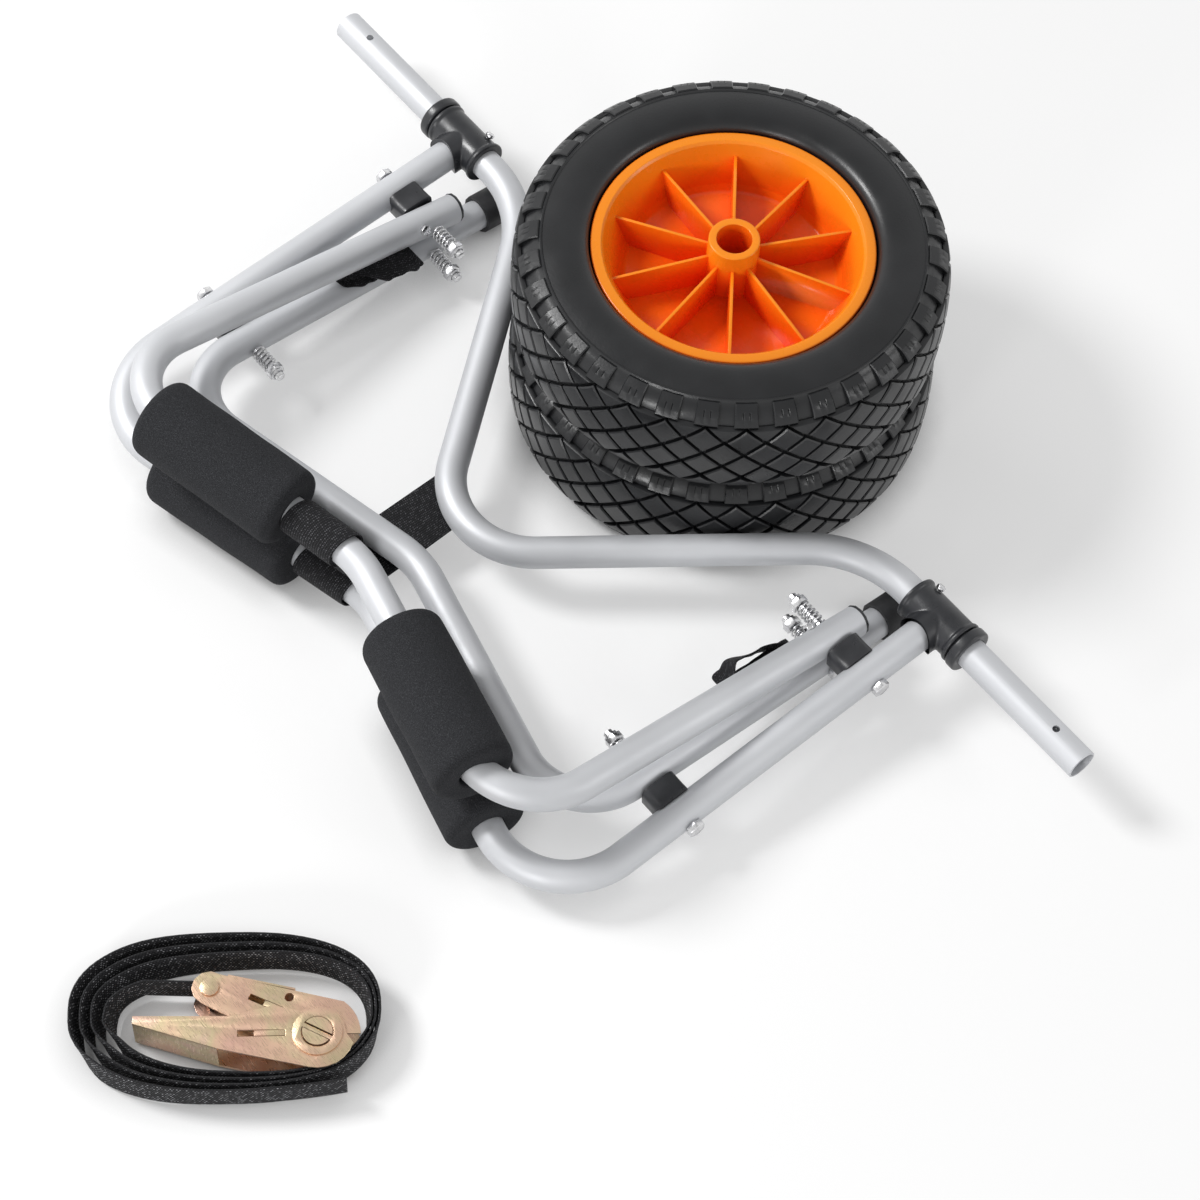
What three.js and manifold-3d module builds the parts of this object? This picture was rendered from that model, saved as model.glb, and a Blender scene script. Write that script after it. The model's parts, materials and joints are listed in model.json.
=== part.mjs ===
// Folding kayak cart, stored flat: wheels off and stacked, frames folded, tie-down strap wound up beside it.
// Millimetres, +Z up. X runs along the axle, the folded frames lie towards -Y.
import * as THREE from 'three';
import Module from 'manifold-3d';
import { mergeVertices } from 'three/addons/utils/BufferGeometryUtils.js';

// Shared clearances and shop values
const seatGap = 0.3;
const runGap = 0.15;
const cutOverrun = 5;
const weldTolerance = 1e-4;
const bendStepDegrees = 15;

// Tubing of the axle and of all three frames
const tubeRadius = 12.7;
const tubeWall = 1.65;
const tubeSides = 12;
const frameBoreSides = 6;
const axleBoreSides = 8;

// Axle: straight stubs for the wheels, a V between them that dips a little towards the strap
const axleHeight = 57;
const axleDipDegrees = 2.4;
const axleHalfLength = 455;
const axleApexDepth = 269;
const axleElbowRadius = 100;
const axleApexRadius = 67;
const linchHoleInset = 31;
const linchHoleRadius = 3;
const linchHoleSides = 8;

// T connectors that hold the lower frame on the axle
const teeLength = 54;
const teeRadius = 18;
const teeSides = 14;
const socketRadius = 17;
const socketReach = 25;
const socketSaddleRadius = 30;
const socketSaddleDepth = 6;
const collarLength = 9;
const collarRadius = 19.4;
const collarGroove = 1.2;
const collarChamfer = 1.2;
const teeScrewInset = 12;
const teeScrewAngle = 50;
const teeScrewHeadRadius = 4;
const teeScrewHeadHeight = 3.5;
const teeScrewShankRadius = 2.2;
const teeScrewShankLength = 4;

// Lower frame, fixed in the T connectors; it carries the lower pads
const lowerHalfWidth = 294;
const lowerApexDepth = 325;
const barSlope = 0.243;
const lowerCornerRadius = 64;
const barApexRadius = 80;

// Upper frame, hinged to the lower one near the T connectors
const armSpacing = 42;
const upperHalfWidth = lowerHalfWidth - armSpacing;
const upperPivotDepth = 73;
const upperApexDepth = 265;
const upperCornerRadius = 58;
const upperTail = 27;

// The axle bends inside the springs and nuts of the upper pivots
const axleBendInset = 41;
const axleBendX = upperHalfWidth - axleBendInset;

// Stand frame, hinged to the lower one near its corners
const standPivotDepth = 257;
const strapBoltDepth = 76;
const standBarClearance = 0.6;
const standCornerRadius = 52;
const standFootOverlap = 6;

// Foam pads on the bars
const padRadius = 33;
const padLength = 136;
const lowerPadInset = { left: 68, right: 81 };
const upperPadInset = { left: 66, right: 73 };
const padSqueeze = 4;
const padRound = 7;
const padSides = 18;

// Plugs and rubber feet
const plugRadius = 12.7;
const plugThickness = 2;
const plugStem = 10;
const plugSides = 12;
const footRadius = 16.5;
const footLength = 26;
const footSocketDepth = 20;
const footChamfer = 2;
const footSides = 14;

// Pivot bolts with their spacers, springs and lock nuts
const boltRadius = 4;
const boltSides = 8;
const boltHoleSides = 6;
const boltHeadRadius = 7.5;
const boltHeadHeight = 5.3;
const boltTip = 3.5;
const nutRadius = 7.5;
const nutHeight = 8;
const nutCollarRadius = 6;
const nutCollarHeight = 2;
const spacerLength = 30;
const spacerHeight = 19;
const spacerWrap = 8;
const springWire = 0.9;
const springMeanRadius = 5.75;
const springTurns = 5;
const springLength = 21;
const springSteps = 8;
const springSides = 5;
const strapNutRadius = 4.6;
const strapNutHeight = 4;
const strapNutOffset = 13;
const strapNutAngle = 30;

// Webbing: the wide centre strap and the two side straps
const centreStrapThickness = 2;
const centreStrapInner = 12;
const centreStrapOuter = 59.5;
const centreStrapSlack = 0.5;
const centreStrapLevel = 8;
const centreLoopSides = 12;
const sideStrapThickness = 1.4;
const sideStrapWidth = 25;
const sideStrapInset = { left: 3, right: 0 };
const sideStrapStart = 97;
const sideStrapEnd = 160;
const sideStrapFoldSteps = 6;

// Wheels
const tyreRadius = 171;
const tyreToAxleGap = 1.15;
const tyreWidth = 104;
const tyreShoulderRadius = 163;
const tyreRingRadius = 149;
const tyreBulgeRadius = 130;
const tyreBeadOuter = 113;
const crownHalfWidth = 27;
const crownDrop = 1.2;
const shoulderDrop = 10;
const ringDrop = 1.6;
const bulgeDrop = 0;
const beadDrop = 6;
const wheelSides = 34;
const lugCount = 34;
const lugGapShare = 0.34;
const lugDepth = 5;
const rimSides = 30;
const hubSides = 16;
const rimLipRadius = 110.5;
const rimLipInset = 8;
const rimLipThickness = 4;
const rimLipWidth = 10;
const rimMouthSlant = 2;
const rimWallThickness = 5;
const rimFootRadius = 83;
const rimFootRise = 6;
const rimFootStep = 4;
const webThickness = 6;
const hubRadius = 20;
const hubClearance = 0.5;
const ribCount = 10;
const ribThickness = 3;
const ribHubDrop = 15;
const ribWallDrop = 20;
const ribPhaseDegrees = 30;

// Tie-down strap wound on edge round its ratchet
const coilCentreX = 207;
const coilCentreY = -614;
const coilTurnDegrees = 51.6;
const coilHalfLength = 114;
const coilHalfWidth = 65.5;
const coilFullness = 0.82;
const webbingWidth = 25;
const webbingThickness = 2.2;
const coilTurns = 4;
const coilFirstTurn = 0.38;
const coilLastTurn = 3.79;
const coilStepsPerTurn = 24;
const coilPitchTight = 3.1;
const coilPitchLoose = 9.8;
const coilTightDegrees = -30;
const coilTailLength = 53;
const coilTailSteps = 4;
const coilTailLift = 3;
const leadWrapDegrees = 190;
const leadWrapSteps = 6;
const leadSettleSteps = 9;
const coilLeanEnd = 36;

// Ratchet
const plateThickness = 1.5;
const plateGap = 0.35;
const webbingPlay = 0.7;
const spindleX = 67;
const spindleY = -21;
const spindleBarRadius = 12.5;
const spindleSlot = 2.6;
const spindleSlotDegrees = -27;
const spindleSides = 12;
const spindleProud = 1.3;
const spindleFlangeRadius = 18;
const spindleFlangeThickness = 1.2;
const spindleFlangeLap = 1;
const ratchetWheelRadius = 18.5;
const ratchetToothDepth = 3.2;
const ratchetTeeth = 12;
const basePlateLength = 86.5;
const basePlateHead = 31;
const basePlateHeadStart = 204;
const basePlateNeck = 20;
const basePlateTail = 13;
const baseShoulderX = 54;
const baseShoulderY = 15.2;
const baseWaistX = 42;
const baseWaistY = 12;
const baseAngleDegrees = 155.7;
const baseWebStart = 24;
const baseWebEnd = 74;
const handleHead = 27.3;
const handleHeadStart = 258;
const handleHeadEnd = 343;
const handleCrown = 20.5;
const handleCrownEnd = 125;
const handleNeckX = 33;
const handleNeckTop = 21;
const handleGripX = 63.5;
const handleGripTop = 12.6;
const handleTipX = 133;
const handleTipTop = 12.5;
const handleTipLow = 6.5;
const handleHeelX = 71.5;
const handleHeelLow = 12.7;
const plateArcSteps = 6;
const pawlSlotWidth = 5;
const pawlSlotStart = 23;
const pawlSlotEnd = 57.5;
const pawlSlotSide = 5.7;
const pawlThickness = 4.2;
const pawlFingerLength = 22;
const pawlTravel = 4;
const handlePawlAngleDegrees = 181;
const pawlCrossLength = 7;
const peepHoleRadius = 3.6;
const peepHoleAt = 30.7;
const peepHoleSide = 17;
const rivetRadius = 4;
const rivetHeadRadius = 7;
const rivetHeadHeight = 1.5;

const wasm = await Module();
wasm.setup();

const radians = THREE.MathUtils.degToRad;
const flip = -1;

// Materials
const metal = (color, roughness) => new THREE.MeshStandardMaterial({ color, roughness, metalness: 0.85 });
const plain = (color, roughness) => new THREE.MeshStandardMaterial({ color, roughness, metalness: 0 });
const aluminium = metal(0xc3c6cc, 0.42);
const steel = metal(0xb4b6ba, 0.25);
const zincYellow = metal(0xd8ae8a, 0.35);
const blackPlastic = plain(0x2c2d31, 0.5);
const blackRubber = plain(0x1d1e20, 0.7);
const foam = plain(0x303136, 0.85);
const webbing = plain(0x202124, 0.9);
const tyreRubber = plain(0x26282c, 0.55);
const orangePlastic = plain(0xf26a12, 0.28);

// Geometry helpers
function tidy(geometry) {
  const bare = geometry.index ? geometry.toNonIndexed() : geometry.clone();
  for (const name of Object.keys(bare.attributes)) {
    if (name !== 'position') bare.deleteAttribute(name);
  }
  const merged = mergeVertices(bare, weldTolerance);
  const source = merged.index.array;
  const kept = [];
  for (let i = 0; i < source.length; i += 3) {
    const [a, b, c] = [source[i], source[i + 1], source[i + 2]];
    if (a !== b && b !== c && c !== a) kept.push(a, b, c);
  }
  merged.setIndex(kept);
  return outward(merged);
}

function signedVolume(geometry) {
  const p = geometry.attributes.position;
  const index = geometry.index.array;
  const [a, b, c] = [new THREE.Vector3(), new THREE.Vector3(), new THREE.Vector3()];
  let sum = 0;
  for (let i = 0; i < index.length; i += 3) {
    a.fromBufferAttribute(p, index[i]);
    b.fromBufferAttribute(p, index[i + 1]);
    c.fromBufferAttribute(p, index[i + 2]);
    sum += a.dot(b.cross(c));
  }
  return sum;
}

function outward(geometry) {
  if (signedVolume(geometry) >= 0) return geometry;
  const index = Array.from(geometry.index.array);
  for (let i = 0; i < index.length; i += 3) {
    [index[i + 1], index[i + 2]] = [index[i + 2], index[i + 1]];
  }
  geometry.setIndex(index);
  return geometry;
}

function toSolid(geometry) {
  const g = tidy(geometry);
  return new wasm.Manifold(new wasm.Mesh({
    numProp: 3,
    vertProperties: new Float32Array(g.attributes.position.array),
    triVerts: new Uint32Array(g.index.array),
  }));
}

function fromSolid(solid) {
  const mesh = solid.getMesh();
  const g = new THREE.BufferGeometry();
  g.setAttribute('position', new THREE.BufferAttribute(new Float32Array(mesh.vertProperties), 3));
  g.setIndex(Array.from(mesh.triVerts));
  return g;
}

const join = (...geometries) => fromSolid(wasm.Manifold.union(geometries.map(toSolid)));
const cut = (body, ...tools) => fromSolid(toSolid(body).subtract(wasm.Manifold.union(tools.map(toSolid))));

// Radius of a polygon whose flats clear a round of the given radius
const clearRadius = (radius, gap, sides) => (radius + gap) / Math.cos(Math.PI / sides);

function polygon(radius, sides, phase = 0) {
  return Array.from({ length: sides }, (_, i) => {
    const angle = phase + (2 * Math.PI * i) / sides;
    return new THREE.Vector2(radius * Math.cos(angle), radius * Math.sin(angle));
  });
}

function extrude(points, depth, holes = []) {
  const shape = new THREE.Shape(points);
  for (const hole of holes) shape.holes.push(new THREE.Path(hole));
  return tidy(new THREE.ExtrudeGeometry(shape, { depth, bevelEnabled: false, steps: 1 }));
}

// Round bar centred on the origin, along the named axis
function rod(radius, length, sides, axis) {
  const g = new THREE.CylinderGeometry(radius, radius, length, sides);
  if (axis === 'x') g.rotateZ(Math.PI / 2);
  if (axis === 'z') g.rotateX(Math.PI / 2);
  return g;
}

// Revolved profile given as [radius, height] pairs, turned about Z
function revolve(profile, sides) {
  const points = profile.map(([r, z]) => new THREE.Vector2(r, z));
  return tidy(new THREE.LatheGeometry(points, sides).rotateX(Math.PI / 2));
}

const ring = (profile) => [...profile, profile[0]];

function place(geometry, ...matrices) {
  const g = geometry.clone();
  for (const matrix of matrices) g.applyMatrix4(matrix);
  return g;
}

const shift = (x, y, z) => new THREE.Matrix4().makeTranslation(x, y, z);
const turnX = (angle) => new THREE.Matrix4().makeRotationX(angle);
const turnY = (angle) => new THREE.Matrix4().makeRotationY(angle);
const turnZ = (angle) => new THREE.Matrix4().makeRotationZ(angle);

// Centre line made of straight runs and true bends, sampled at the ends of each run and along each bend
class StationPath extends THREE.Curve {
  constructor(points, tangents) {
    super();
    this.points = points;
    this.tangents = tangents;
  }
  pick(list, t) {
    return list[Math.round(t * (list.length - 1))].clone();
  }
  getPoint(t) {
    return this.pick(this.points, t);
  }
  getPointAt(t) {
    return this.pick(this.points, t);
  }
  getTangent(t) {
    return this.pick(this.tangents, t);
  }
  getTangentAt(t) {
    return this.pick(this.tangents, t);
  }
}

function bentLine(corners, radii) {
  const points = [];
  const tangents = [];
  const add = (p, t) => {
    points.push(new THREE.Vector3(p.x, p.y, 0));
    tangents.push(new THREE.Vector3(t.x, t.y, 0));
  };
  const heading = (i) => corners[i + 1].clone().sub(corners[i]).normalize();
  add(corners[0], heading(0));
  for (let i = 1; i < corners.length - 1; i += 1) {
    const before = heading(i - 1);
    const after = heading(i);
    const cross = before.x * after.y - before.y * after.x;
    const angle = Math.acos(THREE.MathUtils.clamp(before.dot(after), -1, 1));
    const side = Math.sign(cross);
    const radius = radii[i - 1];
    const start = corners[i].clone().addScaledVector(before, -radius * Math.tan(angle / 2));
    const normal = new THREE.Vector2(-before.y, before.x).multiplyScalar(side);
    const centre = start.clone().addScaledVector(normal, radius);
    const steps = Math.max(2, Math.ceil(THREE.MathUtils.radToDeg(angle) / bendStepDegrees));
    for (let k = 0; k <= steps; k += 1) {
      const turned = (side * angle * k) / steps;
      const spoke = start.clone().sub(centre).rotateAround(new THREE.Vector2(), turned);
      add(centre.clone().add(spoke), before.clone().rotateAround(new THREE.Vector2(), turned));
    }
  }
  add(corners[corners.length - 1], heading(corners.length - 2));
  return new StationPath(points, tangents);
}

function barAlong(path, radius, bores = []) {
  const shape = new THREE.Shape(polygon(radius, tubeSides, Math.PI / tubeSides));
  for (const bore of bores) shape.holes.push(new THREE.Path(bore));
  return tidy(new THREE.ExtrudeGeometry(shape, { steps: path.points.length - 1, extrudePath: path }));
}
function tubeAlong(path, boreSides) {
  return barAlong(path, tubeRadius, [polygon(tubeRadius - tubeWall, boreSides, Math.PI / boreSides)]);
}

// Centre line of a U frame with a V bar, in its own plane: arms along Y, the bar at -depth
function frameLine(halfWidth, apexDepth, armEnd, cornerRadius) {
  const cornerDepth = apexDepth + barSlope * halfWidth;
  const corners = [
    new THREE.Vector2(-halfWidth, armEnd),
    new THREE.Vector2(-halfWidth, -cornerDepth),
    new THREE.Vector2(0, -apexDepth),
    new THREE.Vector2(halfWidth, -cornerDepth),
    new THREE.Vector2(halfWidth, armEnd),
  ];
  return bentLine(corners, [cornerRadius, barApexRadius, cornerRadius]);
}

// Cutter for bolt holes through both arms of a frame at a depth along them
const boltHoleRadius = clearRadius(boltRadius, runGap, boltHoleSides);
function boltHoles(halfWidth, y) {
  const length = 2 * tubeRadius + 2 * cutOverrun;
  const cutter = rod(boltHoleRadius, length, boltHoleSides, 'x');
  return [-1, 1].map((side) => place(cutter, shift(side * halfWidth, y, 0)));
}

// Planes of the three folded frames
const barAngle = Math.atan(barSlope);
const tubeSeat = tubeRadius * Math.cos(Math.PI / tubeSides) + seatGap;
const lowerPadEnd = Math.max(lowerPadInset.left, lowerPadInset.right) + padLength;
const padOuterDepth = lowerApexDepth + (lowerPadEnd - padRound) * Math.sin(barAngle);
const lowerTilt = Math.asin((axleHeight - padRadius) / padOuterDepth);
const lowerPlane = turnX(lowerTilt).premultiply(shift(0, 0, axleHeight));
const axlePlane = turnX(radians(axleDipDegrees)).premultiply(shift(0, 0, axleHeight));
const onLower = (x, y, z) => new THREE.Vector3(x, y, z).applyMatrix4(lowerPlane);

const upperPivot = onLower(0, -upperPivotDepth, 0);
const padRise = Math.min(upperPadInset.left, upperPadInset.right) * Math.sin(barAngle);
const lowerPadInner = onLower(0, -(lowerApexDepth + padRise), 0);
const toLowerPad = lowerPadInner.clone().sub(upperPivot);
const reachLower = Math.hypot(toLowerPad.y, toLowerPad.z);
const reachUpper = upperApexDepth + padRise;
const padStack = 2 * padRadius - padSqueeze;
const fallToLower = Math.atan2(-toLowerPad.z, -toLowerPad.y);
const openToUpper = Math.acos(
  (reachLower ** 2 + reachUpper ** 2 - padStack ** 2) / (2 * reachLower * reachUpper),
);
const upperTilt = openToUpper - fallToLower;
const upperPlane = turnX(-upperTilt).premultiply(shift(0, upperPivot.y, upperPivot.z));

const standPivot = onLower(0, -standPivotDepth, 0);
const standReach = standPivotDepth + standFootOverlap;
const footContact = standReach - footChamfer;
const standTilt = Math.asin(standPivot.z / Math.hypot(footContact, footRadius))
  - Math.atan2(footRadius, footContact);
const standPlane = turnX(-standTilt).premultiply(shift(0, standPivot.y, standPivot.z));
const barSpacing = (padRadius + tubeRadius + standBarClearance) / Math.cos(barAngle);
const standApexDepth = lowerApexDepth - standPivotDepth - barSpacing;
const strapBoltAt = standPivotDepth - strapBoltDepth;
const standArmEnd = standReach - footLength + footSocketDepth;
const lowerArmEnd = -(tubeRadius + seatGap);
const lowerLine = frameLine(lowerHalfWidth, lowerApexDepth, lowerArmEnd, lowerCornerRadius);
const upperLine = frameLine(upperHalfWidth, upperApexDepth, upperTail, upperCornerRadius);
const standLine = frameLine(upperHalfWidth, standApexDepth, standArmEnd, standCornerRadius);

const group = new THREE.Group();
group.name = 'kayak_cart';
function add(name, geometry, material, ...matrices) {
  const g = place(tidy(geometry), ...matrices);
  const mesh = new THREE.Mesh(g, material);
  mesh.name = name;
  group.add(mesh);
}
const sides = [['left', -1], ['right', 1]];

// Axle
const axleCorners = [
  new THREE.Vector2(-axleHalfLength, 0),
  new THREE.Vector2(-axleBendX, 0),
  new THREE.Vector2(0, -axleApexDepth),
  new THREE.Vector2(axleBendX, 0),
  new THREE.Vector2(axleHalfLength, 0),
];
const axleTube = tubeAlong(bentLine(axleCorners, [axleElbowRadius, axleApexRadius, axleElbowRadius]), axleBoreSides);
const linchCutter = rod(linchHoleRadius, 2 * (tubeRadius + cutOverrun), linchHoleSides, 'z');
const linchX = axleHalfLength - linchHoleInset;
add('axle_tube', cut(axleTube, place(linchCutter, shift(-linchX, 0, 0)), place(linchCutter, shift(linchX, 0, 0))),
  aluminium, axlePlane);

// T connectors, their collars and clamp screws
const sleeveRadius = clearRadius(tubeRadius, seatGap, teeSides);
const screwTurn = radians(teeScrewAngle);
function teeBody() {
  const barrel = rod(teeRadius, teeLength, teeSides, 'x');
  const socket = place(rod(socketRadius, socketReach, teeSides, 'y'), shift(0, -socketReach / 2, 0));
  const axleBore = rod(sleeveRadius, teeLength + cutOverrun, teeSides, 'x');
  const armLength = socketReach + cutOverrun;
  const armBore = place(rod(sleeveRadius, armLength, teeSides, 'y'), shift(0, -armLength / 2, 0));
  const saddle = place(
    rod(socketSaddleRadius, 2 * (socketRadius + cutOverrun), teeSides, 'z'),
    shift(0, -(socketReach - socketSaddleDepth + socketSaddleRadius), 0),
  );
  const screwHole = rod(teeScrewShankRadius + runGap, 2 * teeRadius, boltSides, 'z');
  const screwSeat = place(screwHole, shift(teeScrewInset - teeLength / 2, 0, teeRadius), turnX(-screwTurn));
  return cut(join(barrel, cut(socket, saddle)), axleBore, armBore, screwSeat);
}
function collarBody() {
  const half = collarLength / 2;
  return revolve(ring([
    [sleeveRadius, -half],
    [collarRadius - collarChamfer, -half],
    [collarRadius, collarChamfer - half],
    [collarRadius, half - collarChamfer],
    [collarRadius - collarChamfer, half],
    [sleeveRadius, half],
  ]), teeSides).rotateY(Math.PI / 2);
}
function teeScrewBody() {
  const seat = teeRadius + seatGap;
  return join(
    place(rod(teeScrewHeadRadius, teeScrewHeadHeight, 6, 'z'), shift(0, 0, seat + teeScrewHeadHeight / 2)),
    place(rod(teeScrewShankRadius, teeScrewShankLength, boltSides, 'z'), shift(0, 0, seat)),
  );
}
const tee = teeBody();
const collarX = lowerHalfWidth + teeLength / 2 + collarGroove + collarLength / 2;
for (const [name, side] of sides) {
  const mirror = side < 0 ? turnZ(0) : new THREE.Matrix4().makeScale(flip, 1, 1);
  const screwX = side * (lowerHalfWidth - teeLength / 2 + teeScrewInset);
  add(`tee_${name}`, place(tee, new THREE.Matrix4().makeScale(flip, 1, 1), mirror), blackPlastic,
    shift(side * lowerHalfWidth, 0, 0), lowerPlane);
  add(`tee_collar_${name}`, collarBody(), blackPlastic, shift(side * collarX, 0, 0), lowerPlane);
  add(`tee_screw_${name}`, teeScrewBody(), steel, turnX(-screwTurn), shift(screwX, 0, 0), lowerPlane);
}

// Lower frame
add('lower_frame', cut(
  tubeAlong(lowerLine, frameBoreSides),
  ...boltHoles(lowerHalfWidth, -upperPivotDepth),
  ...boltHoles(lowerHalfWidth, -standPivotDepth),
), aluminium, lowerPlane);

// Upper frame and its end plugs
add('upper_frame', cut(
  tubeAlong(upperLine, frameBoreSides),
  ...boltHoles(upperHalfWidth, 0),
), aluminium, upperPlane);
const stemRadius = (tubeRadius - tubeWall) * Math.cos(Math.PI / frameBoreSides) - seatGap;
const plugBody = revolve([
  [0, -plugStem],
  [stemRadius, -plugStem],
  [stemRadius, seatGap],
  [plugRadius, seatGap],
  [plugRadius, seatGap + plugThickness],
  [0, seatGap + plugThickness],
], plugSides).rotateX(-Math.PI / 2);
for (const [name, side] of sides) {
  add(`upper_plug_${name}`, plugBody, blackPlastic, shift(side * upperHalfWidth, upperTail, 0), upperPlane);
}

// Stand frame, its rubber feet and its strap bolts
add('stand_frame', cut(
  tubeAlong(standLine, frameBoreSides),
  ...boltHoles(upperHalfWidth, 0),
  ...boltHoles(upperHalfWidth, strapBoltAt),
), aluminium, standPlane);
const footBore = clearRadius(tubeRadius, seatGap, footSides);
const footBody = revolve(ring([
  [0, 0],
  [footRadius - footChamfer, 0],
  [footRadius, -footChamfer],
  [footRadius, -footLength],
  [footBore, -footLength],
  [footBore, seatGap - (footLength - footSocketDepth)],
  [0, seatGap - (footLength - footSocketDepth)],
]), footSides).rotateX(-Math.PI / 2);
for (const [name, side] of sides) {
  add(`stand_foot_${name}`, footBody, blackRubber, shift(side * upperHalfWidth, standReach, 0), standPlane);
}

// Foam pads: right and left on each bar, bored along the bent tube and pressed flat where they meet
const padHalf = padLength / 2;
const padBody = revolve([
  [0, -padHalf],
  [padRadius - padRound, -padHalf],
  [padRadius, padRound - padHalf],
  [padRadius, padHalf - padRound],
  [padRadius - padRound, padHalf],
  [0, padHalf],
], padSides).rotateY(Math.PI / 2);
const pressTilt = (upperTilt - lowerTilt) / 2;
const pressPlane = turnX(-pressTilt).premultiply(shift(0, upperPivot.y, upperPivot.z));
const pressReach = 2 * (upperApexDepth + lowerHalfWidth);
function padOnBar(side, inset, apexDepth, line, plane, above) {
  const along = inset + padHalf;
  const pad = place(padBody, turnZ(-side * barAngle), shift(
    side * along * Math.cos(barAngle), -(apexDepth + along * Math.sin(barAngle)), 0,
  ));
  const core = barAlong(line, clearRadius(tubeRadius, seatGap, tubeSides));
  const press = new THREE.BoxGeometry(pressReach, pressReach, padRadius)
    .translate(0, 0, -above * (padRadius - seatGap) / 2);
  return cut(place(pad, plane), place(core, plane), place(press, pressPlane));
}
for (const [name, side] of sides) {
  add(`lower_pad_${name}`, padOnBar(
    side, lowerPadInset[name], lowerApexDepth, lowerLine, lowerPlane, -1,
  ), foam);
  add(`upper_pad_${name}`, padOnBar(
    side, upperPadInset[name], upperApexDepth, upperLine, upperPlane, 1,
  ), foam);
}

// Pivot hardware, laid out along +X from the middle of the cart outwards
const springInner = upperHalfWidth - tubeRadius - seatGap;
const nutFace = springInner - springLength - seatGap;
function springBody() {
  const rings = springTurns * springSteps;
  const positions = [];
  const index = [];
  const run = springLength - 2 * springWire;
  for (let i = 0; i <= rings; i += 1) {
    const turned = (2 * Math.PI * i) / springSteps;
    const x = springWire + (run * i) / rings;
    for (let k = 0; k < springSides; k += 1) {
      const angle = (2 * Math.PI * k) / springSides;
      const r = springMeanRadius + springWire * Math.cos(angle);
      positions.push(x + springWire * Math.sin(angle), r * Math.cos(turned), r * Math.sin(turned));
    }
  }
  for (let i = 0; i < rings; i += 1) {
    for (let k = 0; k < springSides; k += 1) {
      const [a, b] = [i * springSides + k, i * springSides + ((k + 1) % springSides)];
      index.push(a, b, b + springSides, a, b + springSides, a + springSides);
    }
  }
  for (let k = 1; k < springSides - 1; k += 1) {
    const last = rings * springSides;
    index.push(0, k + 1, k, last, last + k, last + k + 1);
  }
  const g = new THREE.BufferGeometry();
  g.setAttribute('position', new THREE.BufferAttribute(new Float32Array(positions), 3));
  g.setIndex(index);
  return outward(g);
}
const springGap = (springLength - 2 * springWire) / springTurns - 2 * springWire;
console.log('spring: least gap between curls', springGap.toFixed(2), 'mm');

function boltBody(headFace) {
  const tip = nutFace - nutHeight - boltTip;
  const shank = place(rod(boltRadius, headFace - tip + runGap, boltSides, 'x'),
    shift((headFace + tip + runGap) / 2, 0, 0));
  const head = place(rod(boltHeadRadius, boltHeadHeight, 6, 'x'), shift(headFace + boltHeadHeight / 2, 0, 0));
  return join(shank, head);
}
function nutBody() {
  const hex = place(rod(nutRadius, nutHeight - nutCollarHeight, 6, 'x'),
    shift(nutFace - (nutHeight - nutCollarHeight) / 2, 0, 0));
  const collar = place(rod(nutCollarRadius, nutHeight, boltSides, 'x'), shift(nutFace - nutHeight / 2, 0, 0));
  return cut(join(hex, collar), place(rod(boltHoleRadius, 2 * nutHeight, boltHoleSides, 'x'), shift(nutFace, 0, 0)));
}
function spacerBody() {
  const inner = upperHalfWidth + tubeRadius + seatGap;
  const outer = lowerHalfWidth - tubeRadius + spacerWrap;
  const block = new THREE.BoxGeometry(outer - inner, spacerLength, spacerHeight)
    .translate((inner + outer) / 2, 0, 0);
  const arm = place(rod(clearRadius(tubeRadius, seatGap, tubeSides), spacerLength + cutOverrun, tubeSides, 'y'),
    turnY(Math.PI / tubeSides), shift(lowerHalfWidth, 0, 0));
  const hole = place(rod(boltHoleRadius, 2 * (outer - inner), boltHoleSides, 'x'), shift(inner, 0, 0));
  return cut(block, arm, hole);
}
const pivotHead = lowerHalfWidth + tubeRadius + seatGap;
const strapHead = upperHalfWidth + tubeRadius + seatGap;
const spring = springBody();
const nut = nutBody();
const spacer = spacerBody();
const hardware = [
  ['upper_pivot', pivotHead, -upperPivotDepth, lowerPlane],
  ['stand_pivot', pivotHead, -standPivotDepth, lowerPlane],
  ['strap_anchor', strapHead, strapBoltAt, standPlane],
];
for (const [part, headFace, y, plane] of hardware) {
  const bolt = boltBody(headFace);
  for (const [name, side] of sides) {
    const handed = side < 0 ? turnZ(Math.PI) : turnZ(0);
    add(`${part}_bolt_${name}`, bolt, steel, handed, shift(0, y, 0), plane);
    add(`${part}_spring_${name}`, spring, steel, shift(springInner - springLength, 0, 0), handed,
      shift(0, y, 0), plane);
    add(`${part}_nut_${name}`, nut, steel, handed, shift(0, y, 0), plane);
    if (plane === lowerPlane) add(`${part}_spacer_${name}`, spacer, blackPlastic, handed, shift(0, y, 0), plane);
  }
}
const strapNut = place(rod(strapNutRadius, strapNutHeight, 6, 'x'),
  shift(-(tubeRadius + seatGap + strapNutHeight / 2), 0, 0), turnY(radians(strapNutAngle)));
for (const [name, side] of sides) {
  const handed = side < 0 ? turnZ(Math.PI) : turnZ(0);
  add(`strap_nut_${name}`, strapNut, steel, handed, shift(side * upperHalfWidth, -strapNutOffset, 0), upperPlane);
}

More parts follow.
